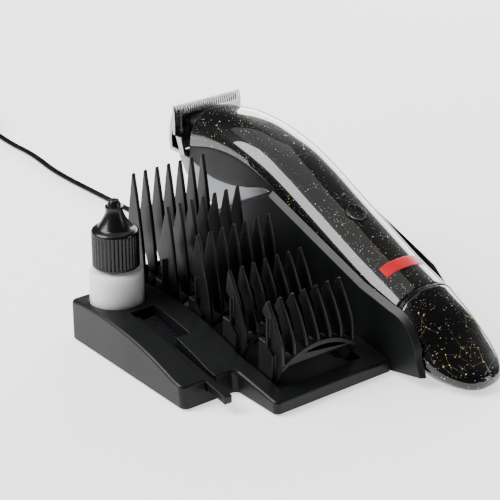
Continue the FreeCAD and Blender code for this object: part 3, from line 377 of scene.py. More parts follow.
def printedGloss(look):
    # film-printed ABS under clear lacquer: near-black ink with printed dots and dust, mirror gloss on top
    material, tree, shader, at = newMaterial("starPrintedAbs", {
        "Roughness": look["underRough"], "Specular IOR Level": 0.08,
        "Coat Weight": 1.0, "Coat Roughness": look["coatRough"],
        "Coat IOR": 1.5})
    colour = None
    for spot in look["spots"]:
        cells = addNode(tree, "TexVoronoi", {"Vector": at, "Scale": 1 / (spot["cell"] * mm)})
        inside = addNode(tree, "Math", {"operation": "LESS_THAN", 0: cells.outputs["Distance"],
                                        1: spot["radius"] / spot["cell"]})
        hue = addNode(tree, "SeparateColor", {"Color": cells.outputs["Color"]})
        gold = addNode(tree, "Math", {"operation": "LESS_THAN", 0: hue.outputs["Red"], 1: spot["gold"]})
        ink = addNode(tree, "Mix", {"data_type": "RGBA", 0: gold.outputs[0], 6: linear(look["white"]),
                                    7: linear(look["goldInk"])})
        cloud = addNode(tree, "TexNoise", {"Vector": at, "Scale": 1 / (spot["cloud"] * mm), "Detail": 3.0})
        patch = addNode(tree, "MapRange", {"Value": cloud.outputs["Fac"], "From Min": spot["thin"],
                                           "From Max": spot["thin"] + 0.08, "To Min": 0.0, "To Max": 1.0})
        share = addNode(tree, "Math", {"operation": "MULTIPLY", 0: inside.outputs[0],
                                       1: patch.outputs["Result"]})
        under = colour.outputs[2] if colour else linear(look["ink"])
        colour = addNode(tree, "Mix", {"data_type": "RGBA", 0: share.outputs[0], 6: under,
                                       7: ink.outputs[2]})
    peel = addNode(tree, "TexNoise", {"Vector": at, "Scale": 1 / (look["peel"] * mm), "Detail": 1.0})
    bump = addNode(tree, "Bump", {"Height": peel.outputs["Fac"], "Distance": look["peelDepth"] * mm,
                                  "Strength": 0.3})
    tree.links.new(colour.outputs[2], shader.inputs["Base Color"])
    tree.links.new(bump.outputs["Normal"], shader.inputs["Coat Normal"])
    return material


starGloss = printedGloss({
    "ink": "#0A0A0B", "white": "#E8E8E8", "goldInk": "#C9A04A", "underRough": 0.35, "coatRough": 0.03,
    "peel": 4.0, "peelDepth": 0.004,      # the lacquer's faint orange peel
    # dots in mm: cell is their spacing in space, and thin is how bare the ground between clouds is
    "spots": [{"cell": 0.75, "radius": 0.085, "gold": 0.25, "cloud": 9.0, "thin": 0.47},
              {"cell": 1.6, "radius": 0.155, "gold": 0.4, "cloud": 14.0, "thin": 0.42},
              {"cell": 3.4, "radius": 0.25, "gold": 0.6, "cloud": 20.0, "thin": 0.36}]})
# gold ink of the print, a little raised on the film
goldInk = workedMetal("goldPrintingInk", {
    "dark": "#9C8248", "light": "#D2B874", "line": 0.3, "run": 0.5, "along": "X", "depth": 0.002,
    "rough": (0.30, 0.42)})


def milkyBottle():
    # blown LDPE: light soaks into the wall, so it glows white, with faint rings from the blow mould
    material, tree, shader, at = newMaterial("blownLdpe", {
        "Roughness": 0.38, "IOR": 1.51, "Subsurface Weight": 0.85, "Subsurface Scale": 0.004,
        "Subsurface Radius": (1.0, 1.0, 1.0), "Transmission Weight": 0.12})
    rings = addNode(tree, "TexWave", {"Vector": at, "Scale": 1 / (3.2 * mm) / 6.28, "bands_direction": "Z",
                                      "Distortion": 1.5, "Detail": 2.0})
    drift = addNode(tree, "TexNoise", {"Vector": at, "Scale": 1 / (9 * mm), "Detail": 3.0})
    shades = addNode(tree, "Mix", {"data_type": "RGBA", 0: drift.outputs["Fac"], 6: linear("#EDF1F2"),
                                   7: linear("#F8FAFA")})
    bump = addNode(tree, "Bump", {"Height": rings.outputs["Fac"], "Distance": 0.02 * mm, "Strength": 0.3})
    tree.links.new(shades.outputs[2], shader.inputs["Base Color"])
    tree.links.new(bump.outputs["Normal"], shader.inputs["Normal"])
    return material


bottleLdpe = milkyBottle()
oilClear = mouldedPlastic("clearMineralOil", {
    "dark": "#F3EBC8", "light": "#F8F2D8", "drift": 10, "grain": 5, "depth": 0.001,
    "rough": (0.02, 0.04)}, IOR=1.47, **{"Transmission Weight": 0.9})
print("materials made")

# ---- the clipper's body ----
# stations: share of the body's length, crown, seam, band edge, belly, half width
bodyShape = {
    "stations": [
        (0.000, 69.2, 53.5, 48.2, 26.0, 16.4), (0.106, 71.2, 57.4, 44.6, 22.5, 16.9),
        (0.213, 70.5, 59.0, 45.2, 20.5, 17.0), (0.309, 68.2, 57.9, 48.0, 19.0, 16.9),
        (0.406, 64.9, 54.3, 51.0, 17.0, 16.7), (0.503, 59.9, 48.9, 46.1, 14.5, 16.5),
        (0.619, 52.9, 41.5, 38.7, 11.5, 16.4), (0.735, 46.0, 34.3, 31.5, 8.6, 16.4),
        (0.851, 39.2, 27.4, 24.6, 5.4, 16.3), (1.000, 31.3, 19.4, 16.6, 2.0, 16.3)],
    "chin": [(-0.0744, 69.2, 60.0, 48.6, 35.0, 16.4), (-0.0483, 69.2, 58.0, 48.4, 29.2, 16.4)],
    # tail: share of its length, crown, belly, half width
    "tail": [(0.0, 31.3, 2.0, 16.3), (0.25, 25.0, 0.7, 16.9), (0.50, 17.4, 0.5, 16.6),
             (0.72, 12.2, 0.5, 14.3), (0.88, 9.2, 0.6, 10.6), (0.97, 7.4, 1.5, 6.8), (1.0, 6.2, 3.0, 3.4)],
    "round": 2.5,
    "wall": 1.9,
    "seamGap": 0.25,
}
shellLow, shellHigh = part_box("upper_shell")
bodyFront, bodyRear = shellHigh.y / mm, shellLow.y / mm
bodyLong = bodyFront - bodyRear
centreX = (shellLow.x + shellHigh.x) / 2 / mm


def between(rows, share):
    # a smooth curve through every row, one value for each column
    last = len(rows) - 1
    i = 0
    while i < last - 1 and share > rows[i + 1][0]:
        i += 1
    a, b = rows[i], rows[i + 1]
    before, after = rows[max(i - 1, 0)], rows[min(i + 2, last)]
    span = b[0] - a[0]
    k = min(max((share - a[0]) / span, 0.0), 1.0)
    values = []
    for j in range(1, len(a)):
        into = (b[j] - before[j]) / (b[0] - before[0]) * span
        out = (after[j] - a[j]) / (after[0] - a[0]) * span
        values.append((2 * k ** 3 - 3 * k ** 2 + 1) * a[j] + (k ** 3 - 2 * k ** 2 + k) * into
                      + (3 * k ** 2 - 2 * k ** 3) * b[j] + (k ** 3 - k ** 2) * out)
    return values


def sideways(half, angle):
    return half * math.copysign(abs(math.cos(angle)) ** (2 / bodyShape["round"]), math.cos(angle))


def domePoint(share, angle, grow=0.0, lift=0.0):
    crown, seam, _, _, half = between(bodyShape["stations"], share)
    seam += lift
    rise = abs(math.sin(angle)) ** (2 / 2.1)
    return Vector((centreX + sideways(half + grow, angle), bodyFront - share * bodyLong,
                   seam + (crown - seam + grow) * rise)) * mm


def bowlPoint(rows, share, angle, grow=0.0):
    _, seam, _, belly, half = between(rows, share)
    drop = abs(math.sin(angle)) ** (2 / bodyShape["round"])
    return Vector((centreX + sideways(half + grow, angle), bodyFront - share * bodyLong,
                   seam - (seam - belly + grow) * drop)) * mm


def bandAngle(rows, share, below=0.0):
    _, seam, band, belly, _ = between(rows, share)
    return math.asin(min(1.0, ((seam - band + below) / (seam - belly)) ** (bodyShape["round"] / 2)))


def skin(name, across, along, spot, closed=False):
    # a grid laid on a formula's surface, facing outwards
    bpy.ops.mesh.primitive_grid_add(x_subdivisions=across, y_subdivisions=along, size=1)
    piece = bpy.context.object
    piece.name = name
    for vertex in piece.data.vertices:
        vertex.co = spot(vertex.co.x + 0.5, vertex.co.y + 0.5)
    if closed:
        startEdit(piece)
        bpy.ops.mesh.remove_doubles(threshold=0.01 * mm)
        bpy.ops.mesh.normals_make_consistent(inside=False)
        endEdit()
        return piece
    heights = [vertex.co.z for vertex in piece.data.vertices]
    inner = Vector((centreX * mm, 0, sum(heights) / len(heights)))
    outward = 0.0
    for face in piece.data.polygons:
        inner.y = face.center.y
        outward += face.area * face.normal.dot(face.center - inner)
    if outward < 0:
        startEdit(piece)
        bpy.ops.mesh.flip_normals()
        endEdit()
    return piece


def turnedShell(piece, wall, edge, angle=45):
    # gives the skin its wall and breaks the wall's edges
    modify(piece, "SOLIDIFY", thickness=wall * mm, offset=-1, use_even_offset=True)
    modify(piece, "BEVEL", width=edge * mm, segments=2, limit_method="ANGLE",
           angle_limit=math.radians(angle), use_clamp_overlap=False)
    smooth(piece, 45)


def upperShell():
    seamGap = bodyShape["seamGap"]
    piece = skin("printedTopShell", 72, 96, lambda u, v: domePoint(v, math.pi * u, 0, seamGap))
    turnedShell(piece, bodyShape["wall"], 0.22)
    return piece


def sideBands():
    bands = []
    rows = bodyShape["stations"]
    for side in (0, 1):
        def spot(u, v):
            angle = bandAngle(rows, v) * u
            return bowlPoint(rows, v, math.pi - angle if side else angle)
        bands.append(skin("band%d" % side, 10, 96, spot))
        turnedShell(bands[-1], bodyShape["wall"], 0.2)
    return join(bands, "sideBands")


def lowerShell():
    rows = bodyShape["chin"] + bodyShape["stations"]
    first = rows[0][0]

    def spot(u, v):
        share = first + (1 - first) * v
        start = bandAngle(rows, share, bodyShape["seamGap"])
        return bowlPoint(rows, share, start + (math.pi - 2 * start) * u)
    piece = skin("lowerShell", 64, 110, spot)
    front = max(v.co.y for v in piece.data.vertices) - 0.01 * mm
    startEdit(piece, "EDGE", lambda e: all(v.co.y > front for v in e.verts))
    bpy.ops.mesh.edge_face_add()
    endEdit()
    modify(piece, "BEVEL", width=1.0 * mm, segments=4, limit_method="ANGLE", angle_limit=math.radians(50),
           use_clamp_overlap=False)
    turnedShell(piece, bodyShape["wall"], 0.2, 60)
    return piece


def hoopPoint(y, crown, belly, half, angle, grow):
    seam = belly + (crown - belly) * 0.55
    if math.sin(angle) >= 0:
        z = seam + (crown - seam + grow) * abs(math.sin(angle)) ** (2 / 2.1)
    else:
        z = seam - (seam - belly + grow) * abs(math.sin(angle)) ** (2 / bodyShape["round"])
    return Vector((centreX + sideways(half + grow, angle), y, z)) * mm


ringLow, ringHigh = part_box("seam_ring")


def seamRing():
    # two thin beads with a groove between them
    _, _, _, belly, half = between(bodyShape["stations"], 1)
    crown = bodyShape["stations"][-1][1]
    y0, y1 = ringHigh.y / mm, ringLow.y / mm

    def spot(u, v):
        bead = 0.5 - 0.5 * math.cos(4 * math.pi * v)
        grow = -0.1 + 0.42 * bead ** 0.6
        return hoopPoint(y0 + (y1 - y0) * v, crown, belly, half, 2 * math.pi * u, grow)
    piece = skin("seamRing", 120, 16, spot, closed=True)
    turnedShell(piece, 1.6, 0.1, 70)
    return piece


tailLow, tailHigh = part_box("tail_cap")
tailFront, tailRear = tailHigh.y / mm, tailLow.y / mm


def tailPoint(share, angle, grow=0.0):
    crown, belly, half = between(bodyShape["tail"], share)
    return hoopPoint(tailFront + (tailRear - tailFront) * share, crown, belly, half, angle, grow)


def tailCap():
    def spot(u, v):
        share = 1 - (1 - v) ** 1.6              # more rows towards the rounded end
        return tailPoint(share, 2 * math.pi * u)
    piece = skin("printedTail", 120, 60, spot, closed=True)
    rear = min(v.co.y for v in piece.data.vertices) + 0.01 * mm
    for last in (0.55, 0.3):                    # the end is closed by two smaller rings and a face
        startEdit(piece, "EDGE", lambda e: all(v.co.y < rear for v in e.verts))
        bpy.ops.mesh.extrude_region_move()
        bpy.ops.transform.resize(value=(last, 1, last))
        bpy.ops.transform.translate(value=(0, -0.22 * mm * last, 0))
        endEdit()
        rear = min(v.co.y for v in piece.data.vertices) + 0.01 * mm
    startEdit(piece, "EDGE", lambda e: all(v.co.y < rear for v in e.verts))
    bpy.ops.mesh.edge_face_add()
    endEdit()
    turnedShell(piece, bodyShape["wall"] * 0.8, 0.2, 70)
    return piece


buttonFacts = {"rim": 0.45, "dish": 0.8, "dishDeep": 0.22, "hole": 0.4}


def slopeAt(share):
    step = 0.02
    ahead, behind = domePoint(share - step, math.pi / 2), domePoint(share + step, math.pi / 2)
    along = (behind - ahead).normalized()
    return along, Vector((0, along.z, -along.y))


buttonLow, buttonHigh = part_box("power_button")
buttonMiddle = (buttonLow + buttonHigh) / 2
buttonShare = (bodyFront - buttonMiddle.y / mm) / bodyLong
buttonAcross = buttonHigh.x - buttonLow.x
_, buttonOut = slopeAt(buttonShare)
buttonTurn = buttonOut.to_track_quat("Z", "Y").to_euler()


def powerButton():
    deep = 3.4 * mm
    bpy.ops.mesh.primitive_cylinder_add(vertices=72, radius=buttonAcross / 2, depth=deep,
                                        location=buttonMiddle, rotation=buttonTurn)
    piece = bpy.context.object
    piece.name = "powerButton"
    settle(piece)
    startEdit(piece, "FACE", lambda f: f.normal.dot(buttonOut) > 0.99)
    bpy.ops.mesh.inset(thickness=buttonFacts["dish"] * mm)
    bpy.ops.transform.translate(value=-buttonOut * buttonFacts["dishDeep"] * mm)
    bpy.ops.mesh.inset(thickness=0.5 * mm)
    bpy.ops.transform.translate(value=-buttonOut * 0.08 * mm)
    endEdit()
    modify(piece, "BEVEL", width=buttonFacts["rim"] * 0.4 * mm, segments=3, limit_method="ANGLE",
           angle_limit=math.radians(14))
    smooth(piece, 40)
    return piece


def cutBy(piece, cutters):
    for cutter in cutters:
        modify(piece, "BOOLEAN", operation="DIFFERENCE", object=cutter, solver="EXACT")
        bpy.data.objects.remove(cutter)


shell = upperShell()
bpy.ops.mesh.primitive_cylinder_add(vertices=72, radius=buttonAcross / 2 + buttonFacts["hole"] * mm,
                                    depth=12 * mm, location=buttonMiddle, rotation=buttonTurn)
cutBy(shell, [bpy.context.object])
smooth(shell, 45)
place(shell, starGloss, "clipper", "clipper_gloss", ["upper_shell"])
place(powerButton(), starGloss, "button", "clipper_gloss", ["power_button"])
place(sideBands(), darkBand, "clipper", "chassis_plastic", ["chassis"])
bottomShell = lowerShell()
contactLow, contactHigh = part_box("charge_contacts")
holes = []
for x in (contactLow.x + 2 * mm, contactHigh.x - 2 * mm):
    bpy.ops.mesh.primitive_cylinder_add(vertices=32, radius=2.1 * mm, depth=9 * mm, location=(
        x, (contactLow.y + contactHigh.y) / 2, contactLow.z))
    holes.append(bpy.context.object)
cutBy(bottomShell, holes)
smooth(bottomShell, 45)
place(bottomShell, silverLacquer, "clipper", "silver_plastic", ["lower_shell"])
place(seamRing(), ringAbs, "clipper", "ring_trim", ["seam_ring"])
place(tailCap(), starGloss, "clipper", "clipper_gloss", ["tail_cap"])
print("clipper shells made")

# ---- red label ----
labelFacts = {"from": 1.05, "to": 2.15, "thick": 0.55, "proud": 0.22}
labelLow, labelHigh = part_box("badge")


def label():
    front, rear = (bodyFront - labelHigh.y / mm) / bodyLong, (bodyFront - labelLow.y / mm) / bodyLong
    facts = labelFacts
    piece = skin("redLabel", 40, 10, lambda u, v: domePoint(
        front + (rear - front) * v, facts["from"] + (facts["to"] - facts["from"]) * u, facts["proud"]))
    turnedShell(piece, facts["thick"], 0.12, 60)
    return piece


place(label(), redVinyl, "clipper", "badge_plastic", ["badge"])

# ---- printed constellations ----
# stars in mm across and along the shell, and which of them a line joins; the figures are invented
printFacts = {
    "lift": 0.03, "line": 0.026, "seed": 11,
    "girth": 17.0,              # mm across the shell for one radian
    "ends": (0.012, 0.985),     # shares along between which the print stays
    "edge": 0.03,               # radians kept clear beside the seam
    "figures": [
        {"stars": [(0, 0), (5, 3), (9, 1), (13, 5), (10, 10), (4, 9)],
         "lines": [(0, 1), (1, 2), (2, 3), (3, 4), (4, 5), (5, 1)]},
        {"stars": [(0, 0), (4, -3), (8, 0), (12, -2), (15, 3), (8, 6)],
         "lines": [(0, 1), (1, 2), (2, 3), (3, 4), (2, 5)]},
        {"stars": [(0, 0), (3, 5), (7, 8), (12, 7), (5, 13)],
         "lines": [(0, 1), (1, 2), (2, 3), (2, 4)]},
        {"stars": [(0, 0), (6, 1), (11, -2), (11, 5), (16, 8)],
         "lines": [(0, 1), (1, 2), (1, 3), (3, 4)]}],
    # (which figure, share along, angle across in degrees, spin in degrees)
    "body": [(0, 0.06, 140, 20), (1, 0.10, 75, 70), (2, 0.25, 120, 200), (3, 0.33, 165, 80),
             (0, 0.43, 95, 150), (1, 0.52, 150, 40), (2, 0.58, 60, 100), (3, 0.66, 112, 60),
             (0, 0.74, 165, 100), (1, 0.80, 80, 10), (2, 0.91, 140, 90), (3, 0.30, 50, 30)],
    "tail": [(1, 0.12, 60, 80), (3, 0.20, 118, 20), (0, 0.45, 95, 60), (2, 0.40, 160, 150), (1, 0.66, 110, 10)],
}


def flatStar(points, radius, inner):
    # a disc whose every second corner is drawn in
    bpy.ops.mesh.primitive_circle_add(vertices=points * 2, radius=radius * mm, fill_type="TRIFAN")
    piece = bpy.context.object
    rim = radius * mm * 0.9
    startEdit(piece, "VERT", lambda v: v.index % 2 == 0 and v.co.length > rim)
    bpy.ops.transform.resize(value=(inner, inner, 1))
    endEdit()
    return piece


def printOn(name, surface, unit, entries):
    # surface gives a point for (share, angle); unit is the mm that one share measures
    facts = printFacts
    chance = random.Random(facts["seed"])
    kinds = [flatStar(4, 1.0, 0.2), flatStar(8, 0.34, 0.8), flatStar(4, 0.66, 0.3), flatStar(8, 0.24, 0.8)]
    parts = []

    def spot(figure, x, y):
        _, share, across, spin = figure
        c, s = math.cos(math.radians(spin)), math.sin(math.radians(spin))
        return (share + (x * s + y * c) / unit, math.radians(across) + (x * c - y * s) / facts["girth"])

    def point(where, lift):
        first, last = facts["ends"]
        return surface(min(max(where[0], first), last), where[1], lift)
    for figure in entries:
        shape = facts["figures"][figure[0]]
        for a, b in shape["lines"]:
            start, end = spot(figure, *shape["stars"][a]), spot(figure, *shape["stars"][b])
            if not all(facts["edge"] < p[1] < math.pi - facts["edge"] for p in (start, end)):
                continue
            curve = bpy.data.curves.new("line", "CURVE")
            curve.dimensions = "3D"
            curve.bevel_depth = facts["line"] * mm
            curve.bevel_resolution = 0
            spline = curve.splines.new("POLY")
            spline.points.add(8)
            for i in range(9):
                mix = [s + (e - s) * i / 8 for s, e in zip(start, end)]
                spline.points[i].co = (*point(mix, 0.0), 1)
            line = bpy.data.objects.new("line", curve)
            bpy.context.scene.collection.objects.link(line)
            pickOnly(line)
            bpy.ops.object.convert(target="MESH")
            parts.append(line)
        for star in shape["stars"]:
            where = spot(figure, *star)
            if not 0.05 < where[1] < math.pi - 0.05:
                continue
            at = point(where, facts["lift"])
            out = (point(where, 1.0) - point(where, 0.0)).normalized()
            source = chance.choices(kinds, (2, 4, 2, 4))[0]
            copy = bpy.data.objects.new("star", source.data.copy())
            bpy.context.scene.collection.objects.link(copy)
            turn = Matrix.Rotation(chance.uniform(0, 1.5), 4, "Z")
            lean = out.to_track_quat("Z", "Y").to_matrix().to_4x4()
            copy.data.transform(Matrix.Translation(at) @ lean @ turn)
            parts.append(copy)
    for kind in kinds:
        bpy.data.objects.remove(kind)
    return join(parts, name)


place(printOn("goldPrintBody", domePoint, bodyLong, printFacts["body"]), goldInk, "clipper", "clipper_gloss")
place(printOn("goldPrintTail", tailPoint, abs(tailRear - tailFront), printFacts["tail"]), goldInk, "clipper",
      "clipper_gloss")
print("label and print made")

# ---- blades and head ----
place(roundedCopy("fixed_blade", "fixedBlade", 0.06 * mm, 1), groundSteel, "clipper", "blade_steel",
      ["fixed_blade"])
place(roundedCopy("moving_blade", "movingBlade", 0.06 * mm, 1), groundSteel, "blade_drive", "blade_steel",
      ["moving_blade"])
place(roundedCopy("blade_holder", "bladeHolder", 0.22 * mm, 3), stampedSteel, "clipper", "holder_steel",
      ["blade_holder"])
place(roundedCopy("head_plate", "headPlate", 0.25 * mm, 2), darkBand, "clipper", "chassis_plastic",
      ["head_plate"])
place(roundedCopy("blade_screws", "bladeScrews", 0.08 * mm, 2), screwSteel, "clipper", "screw_steel",
      ["blade_screws"])

# ---- stand, dock and combs ----
place(roundedCopy("stand_top", "standTop", 0.25 * mm, 2), blackAbs, "stand", "stand_plastic", ["stand_top"])
place(roundedCopy("dock", "clipperDock", 0.4 * mm, 3), blackAbs, "stand", "stand_plastic", ["dock"])
for number in range(1, 6):
    node = "guide_comb_%d" % number
    place(roundedCopy(node, "guideComb%d" % number, 0.42 * mm, 3), blackNylon, "comb_%d" % number,
          "comb_plastic", [node])
print("stand and combs made")


# ---- turned pieces ----
def lathe(name, profile, base, sides=96, turn=None, ribs=None):
    # spins (radius, height) pairs in mm about an axis through base;
    # ribs make the radius ripple between two heights
    last = len(profile) - 1

    def spot(u, v):
        angle = 2 * math.pi * u
        radius, height = profile[round(v * last)]
        if ribs and ribs["from"] <= height <= ribs["to"] and radius > ribs["above"]:
            radius -= ribs["deep"] * (1 - abs(math.cos(ribs["count"] * angle / 2)))
        at = Vector((radius * math.cos(angle), radius * math.sin(angle), height)) * mm
        return base + (turn @ at if turn else at)
    piece = skin(name, sides, last, spot, closed=True)
    return piece


def broken(piece, width, angle=28, segments=3):
    # breaks the edges of a turned piece
    modify(piece, "BEVEL", width=width * mm, segments=segments, limit_method="ANGLE",
           angle_limit=math.radians(angle), use_clamp_overlap=True)
    smooth(piece, 40)
    return piece


bottleFacts = {"wall": 1.1, "shoulder": 20.0, "neck": 6.4, "neckHigh": 8.0, "bead": 0.25}
bottleLow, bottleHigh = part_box("oil_bottle")
bottleRadius = (bottleHigh.x - bottleLow.x) / 2 / mm
bottleBase = Vector(((bottleLow.x + bottleHigh.x) / 2, (bottleLow.y + bottleHigh.y) / 2, bottleLow.z))


def oilBottle():
    f, r = bottleFacts, bottleRadius
    top = f["shoulder"] + 1.8
    inner = r - f["wall"]
    outside = [(0, 0.6), (r * 0.55, 0.5), (r * 0.72, 0.05), (r - 1.3, 0), (r - 0.4, 0.35), (r, 1.3)]
    outside += [(r, 1.3 + (f["shoulder"] - 2.3) * i / 12) for i in range(1, 12)]
    outside += [(r, f["shoulder"] - 0.9), (r - 0.35, f["shoulder"] - 0.1), (r - 1.3, f["shoulder"] + 0.6),
                (f["neck"] + 0.5, top - 0.15), (f["neck"], top + 0.3), (f["neck"], top + 2.0),
                (f["neck"] + f["bead"], top + 2.4), (f["neck"], top + 2.8), (f["neck"], top + f["neckHigh"])]
    inside = [(f["neck"] - f["wall"], top + f["neckHigh"]), (f["neck"] - f["wall"], top - 0.5),
              (inner - 1.4, f["shoulder"] - 0.7), (inner, f["shoulder"] - 1.8), (inner, 2.2),
              (inner - 1.0, f["wall"]), (0, f["wall"])]
    return broken(lathe("oilBottle", outside + inside, bottleBase), 0.15, 50, 2)


place(oilBottle(), bottleLdpe, "bottle", "bottle_plastic", ["oil_bottle"])
place(broken(lathe("clipperOil", [(0, 1.15), (bottleRadius - 2.3, 1.15), (bottleRadius - 1.15, 2.2),
                                  (bottleRadius - 1.15, 12.2), (bottleRadius - 1.6, 12.0), (0, 12.0)],
                   bottleBase), 0.1), oilClear, "bottle", "oil_liquid", ["clipper_oil"])

capFacts = {"across": 19.2, "high": 15.2, "nozzle": 4.4, "ribs": 36, "ribDeep": 0.42}
capLow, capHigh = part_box("bottle_cap")


def bottleCap():
    # a knurled skirt, a stepped shoulder, and a nozzle with a collar under its tip
    f = capFacts
    r, high = f["across"] / 2, f["high"]
    tip = (capHigh.z - capLow.z) / mm
    tube = f["nozzle"] / 2
    bore = bottleFacts["neck"] + 0.1
    profile = [(bore, 0), (r - 0.5, 0), (r, 0.4), (r, 0.9), (r, 1.0)]
    profile += [(r, 1.0 + (high - 2.2) * i / 8) for i in range(1, 9)]
    profile += [(r, high - 1.1), (r, high - 0.5), (r - 0.25, high + 0.1),
                (r - 0.8, high + 0.6), (r - 1.6, high + 0.9),
                (r - 2.4, high + 1.1), (r - 3.0, high + 1.7), (tube + 2.4, tip - 7.4), (tube + 1.3, tip - 5.0),
                (tube + 1.1, tip - 3.6), (tube + 1.5, tip - 3.4), (tube + 1.5, tip - 2.6),
                (tube + 0.6, tip - 2.4), (tube, tip - 0.3), (tube - 0.3, tip), (0.6, tip),
                (0.6, high - 1.6), (bore, high - 1.6), (bore, 0)]
    piece = lathe("bottleCap", profile, Vector((bottleBase.x, bottleBase.y, capLow.z)), 432, ribs={
        "from": 1.0, "to": high - 1.1, "above": r - 0.2, "deep": f["ribDeep"], "count": f["ribs"]})
    smooth(piece, 38)
    return piece


place(bottleCap(), capPlastic, "nozzle_cap", "cap_plastic", ["bottle_cap"])

toRear = Matrix.Rotation(math.radians(-90), 3, "X")      # an axis that runs up is laid towards the rear
reliefFacts = {"neck": 3.0, "wall": 2.4, "flange": 4.6, "flangeThick": 1.6, "long": 14.0, "rings": 6}
reliefLow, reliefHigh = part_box("strain_relief")


def strainRelief():
    # the sleeve is cut into rings so that it bends with the lead
    f = reliefFacts
    tipRadius = cordFacts["width"] / 2 + 0.5
    profile = [(0, 0), (f["flange"], 0), (f["flange"], f["flangeThick"]), (f["neck"], f["flangeThick"]),
               (f["neck"], f["flangeThick"] + f["wall"])]
    start = f["flangeThick"] + f["wall"]
    for i in range(f["rings"]):
        for share, sunk in ((0.05, 0), (0.6, 0), (0.68, 0.55), (0.97, 0.55)):
            k = (i + share) / f["rings"]
            profile.append((f["neck"] + (tipRadius - f["neck"]) * k - sunk, start + f["long"] * k))
    end = start + f["long"]
    profile += [(tipRadius, start + f["long"] * 0.985), (tipRadius - 0.2, end), (0, end)]
    at = Vector(((reliefLow.x + reliefHigh.x) / 2, reliefLow.y, (reliefLow.z + reliefHigh.z) / 2))
    piece = lathe("strainRelief", profile, at, 48, toRear)
    smooth(piece, 35)
    return piece


place(strainRelief(), cordVinyl, "stand", "cord_vinyl", ["strain_relief"])
print("bottle and sleeve made")

# ---- cleaning brush ----
brushFacts = {"right": 14.8, "rear": -28.4, "top": 16.8, "fall": 8.8, "head": 23.2, "tufts": 9,
              "levels": (1.7, 4.5),
              "sunk": 1.5, "long": 8.2, "filaments": 13, "filament": 0.17, "tuft": 0.68, "splay": 0.10}


def bristles():
    # each tuft is a bundle of filaments that open a little towards their cut ends
    f = brushFacts
    bpy.ops.mesh.primitive_cylinder_add(vertices=6, radius=f["filament"] / 2 * mm, depth=f["long"] * mm)
    source = bpy.context.object
    source.data.transform(Matrix.Translation((0, 0, f["long"] / 2 * mm)))
    chance = random.Random(5)
    parts = []
    for i in range(f["tufts"]):
        y = f["rear"] - 2.6 - i * (f["head"] - 5.2) / (f["tufts"] - 1)
        for level in f["levels"]:
            z = f["top"] + (y - f["rear"]) * math.tan(math.radians(f["fall"])) - level
            for k in range(f["filaments"]):
                reach = f["tuft"] * math.sqrt((k + 0.3) / f["filaments"])
                a = 2.4 * k
                dy, dz = reach * math.cos(a), reach * math.sin(a)
                lean = Vector((1, f["splay"] * dy + chance.uniform(-0.01, 0.01), f["splay"] * dz))
                copy = bpy.data.objects.new("filament", source.data.copy())
                bpy.context.scene.collection.objects.link(copy)
                copy.data.transform(Matrix.Translation(fromStand(f["right"] - f["sunk"], y + dy, z + dz))
                                    @ lean.to_track_quat("Z", "Y").to_matrix().to_4x4())
                parts.append(copy)
    bpy.data.objects.remove(source)
    return join(parts, "brushBristles")


place(bristles(), bristleNylon, "brush", "bristle_nylon", ["brush_bristles"])
place(roundedCopy("brush_handle", "brushHandle", 0.3 * mm, 2), blackAbs, "brush", "stand_plastic",
      ["brush_handle"])

# ---- fittings, drive, battery and charger, each with its edges broken ----
# node, name, edge in mm, material, body, slot
fittings = [
    ("base_plate", "basePlate", 0.2, blackAbs, "stand", "stand_plastic"),
    ("base_screws", "baseScrews", 0.12, screwSteel, "stand", "screw_steel"),
    ("feet", "rubberFeet", 0.15, rubber, "stand", "foot_rubber"),
    ("contact_block", "contactBlock", 0.3, pomPlastic, "stand", "chassis_plastic"),
    ("contact_pins", "contactPins", 0.3, contactGold, "charge_pins", "contact_metal"),
    ("charge_board", "chargeBoard", 0.1, laminate, "stand", "circuit_laminate"),
    ("charge_contacts", "chargeContacts", 0.2, contactGold, "clipper", "contact_metal"),
    ("battery", "batteryCell", 0.6, wrapPvc, "clipper", "battery_wrap"),
    ("circuit_board", "circuitBoard", 0.1, laminate, "clipper", "circuit_laminate"),
    ("button_switch", "buttonSwitch", 0.25, pomPlastic, "clipper", "chassis_plastic"),
    ("motor", "motorCan", 0.6, motorSteel, "clipper", "motor_steel"),
    ("eccentric", "motorEccentric", 0.15, motorSteel, "motor_shaft", "motor_steel"),
    ("drive_yoke", "driveYoke", 0.25, pomPlastic, "blade_drive", "drive_plastic"),
    ("cord_tie", "cordTie", 0.3, rubber, "stand", "cord_vinyl"),
    ("adapter_case", "adapterCase", 0.3, blackAbs, "stand", "stand_plastic"),
    ("adapter_prongs", "adapterProngs", 0.15, screwSteel, "stand", "screw_steel"),
    ("adapter_boot", "adapterBoot", 0.3, cordVinyl, "stand", "cord_vinyl"),
]
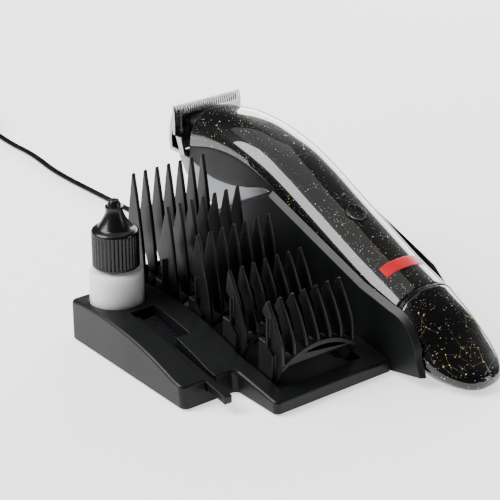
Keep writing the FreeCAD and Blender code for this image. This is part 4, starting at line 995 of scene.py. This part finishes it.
for node, name, edge, material, body, slot in fittings:
    place(roundedCopy(node, name, edge * mm, 2), material, body, slot, [node])
print("fittings made")

# ---- floor and light ----
studio = {
    "floor": "#F4F4F4",
    "floorGlow": 1.2,       # keeps the ground near white under low lights
    "world": 0.04,
    "lights": [
        # name, place, aim, size, power; each bank shows as one band along the clipper
        ("overhead", (0.12, 0.33, 1.25), (0.0, 0.0, 0.03), (1.2, 1.2), 4.5),
        ("leftBank", (-0.74, 0.46, 0.92), (0.0, 0.0, 0.05), (0.8, 0.9), 34),
        ("rightBank", (1.06, 0.60, 0.42), (0.0, 0.0, 0.05), (1.1, 0.5), 24),
        ("frontStrip", (0.62, -0.75, 0.26), (0.0, 0.0, 0.05), (0.25, 0.5), 2),
    ],
}


def paintFloor():
    material, tree, shader, at = newMaterial("paleFloor", {
        "Roughness": 0.85, "Emission Color": linear(studio["floor"]), "Emission Strength": studio["floorGlow"]})
    drift = addNode(tree, "TexNoise", {"Vector": at, "Scale": 3.0, "Detail": 2.0})
    shades = addNode(tree, "Mix", {"data_type": "RGBA", 0: drift.outputs["Fac"],
                                   6: linear(studio["floor"]), 7: linear("#F7F7F7")})
    tree.links.new(shades.outputs[2], shader.inputs["Base Color"])
    return material


bpy.ops.mesh.primitive_plane_add(size=8)
floor = bpy.context.object
floor.name = "floor"
floor.data.materials.append(paintFloor())
for name, at, aim, (wide, high), power in studio["lights"]:
    bpy.ops.object.light_add(type="AREA", location=at)
    light = bpy.context.object
    light.name = name
    light.data.shape = "RECTANGLE"
    light.data.size, light.data.size_y = wide, high
    light.data.energy = power
    light.rotation_euler = (Vector(aim) - Vector(at)).to_track_quat("-Z", "Y").to_euler()
    light.visible_camera = False
world = bpy.data.worlds.new("studio")
world.use_nodes = True
world.node_tree.nodes["Background"].inputs["Strength"].default_value = studio["world"]
world.node_tree.nodes["Background"].inputs["Color"].default_value = (1, 1, 1, 1)
bpy.context.scene.world = world

place(lead, cordVinyl, "stand", "cord_vinyl", ["cord", "cord_coil", "cord_end"])
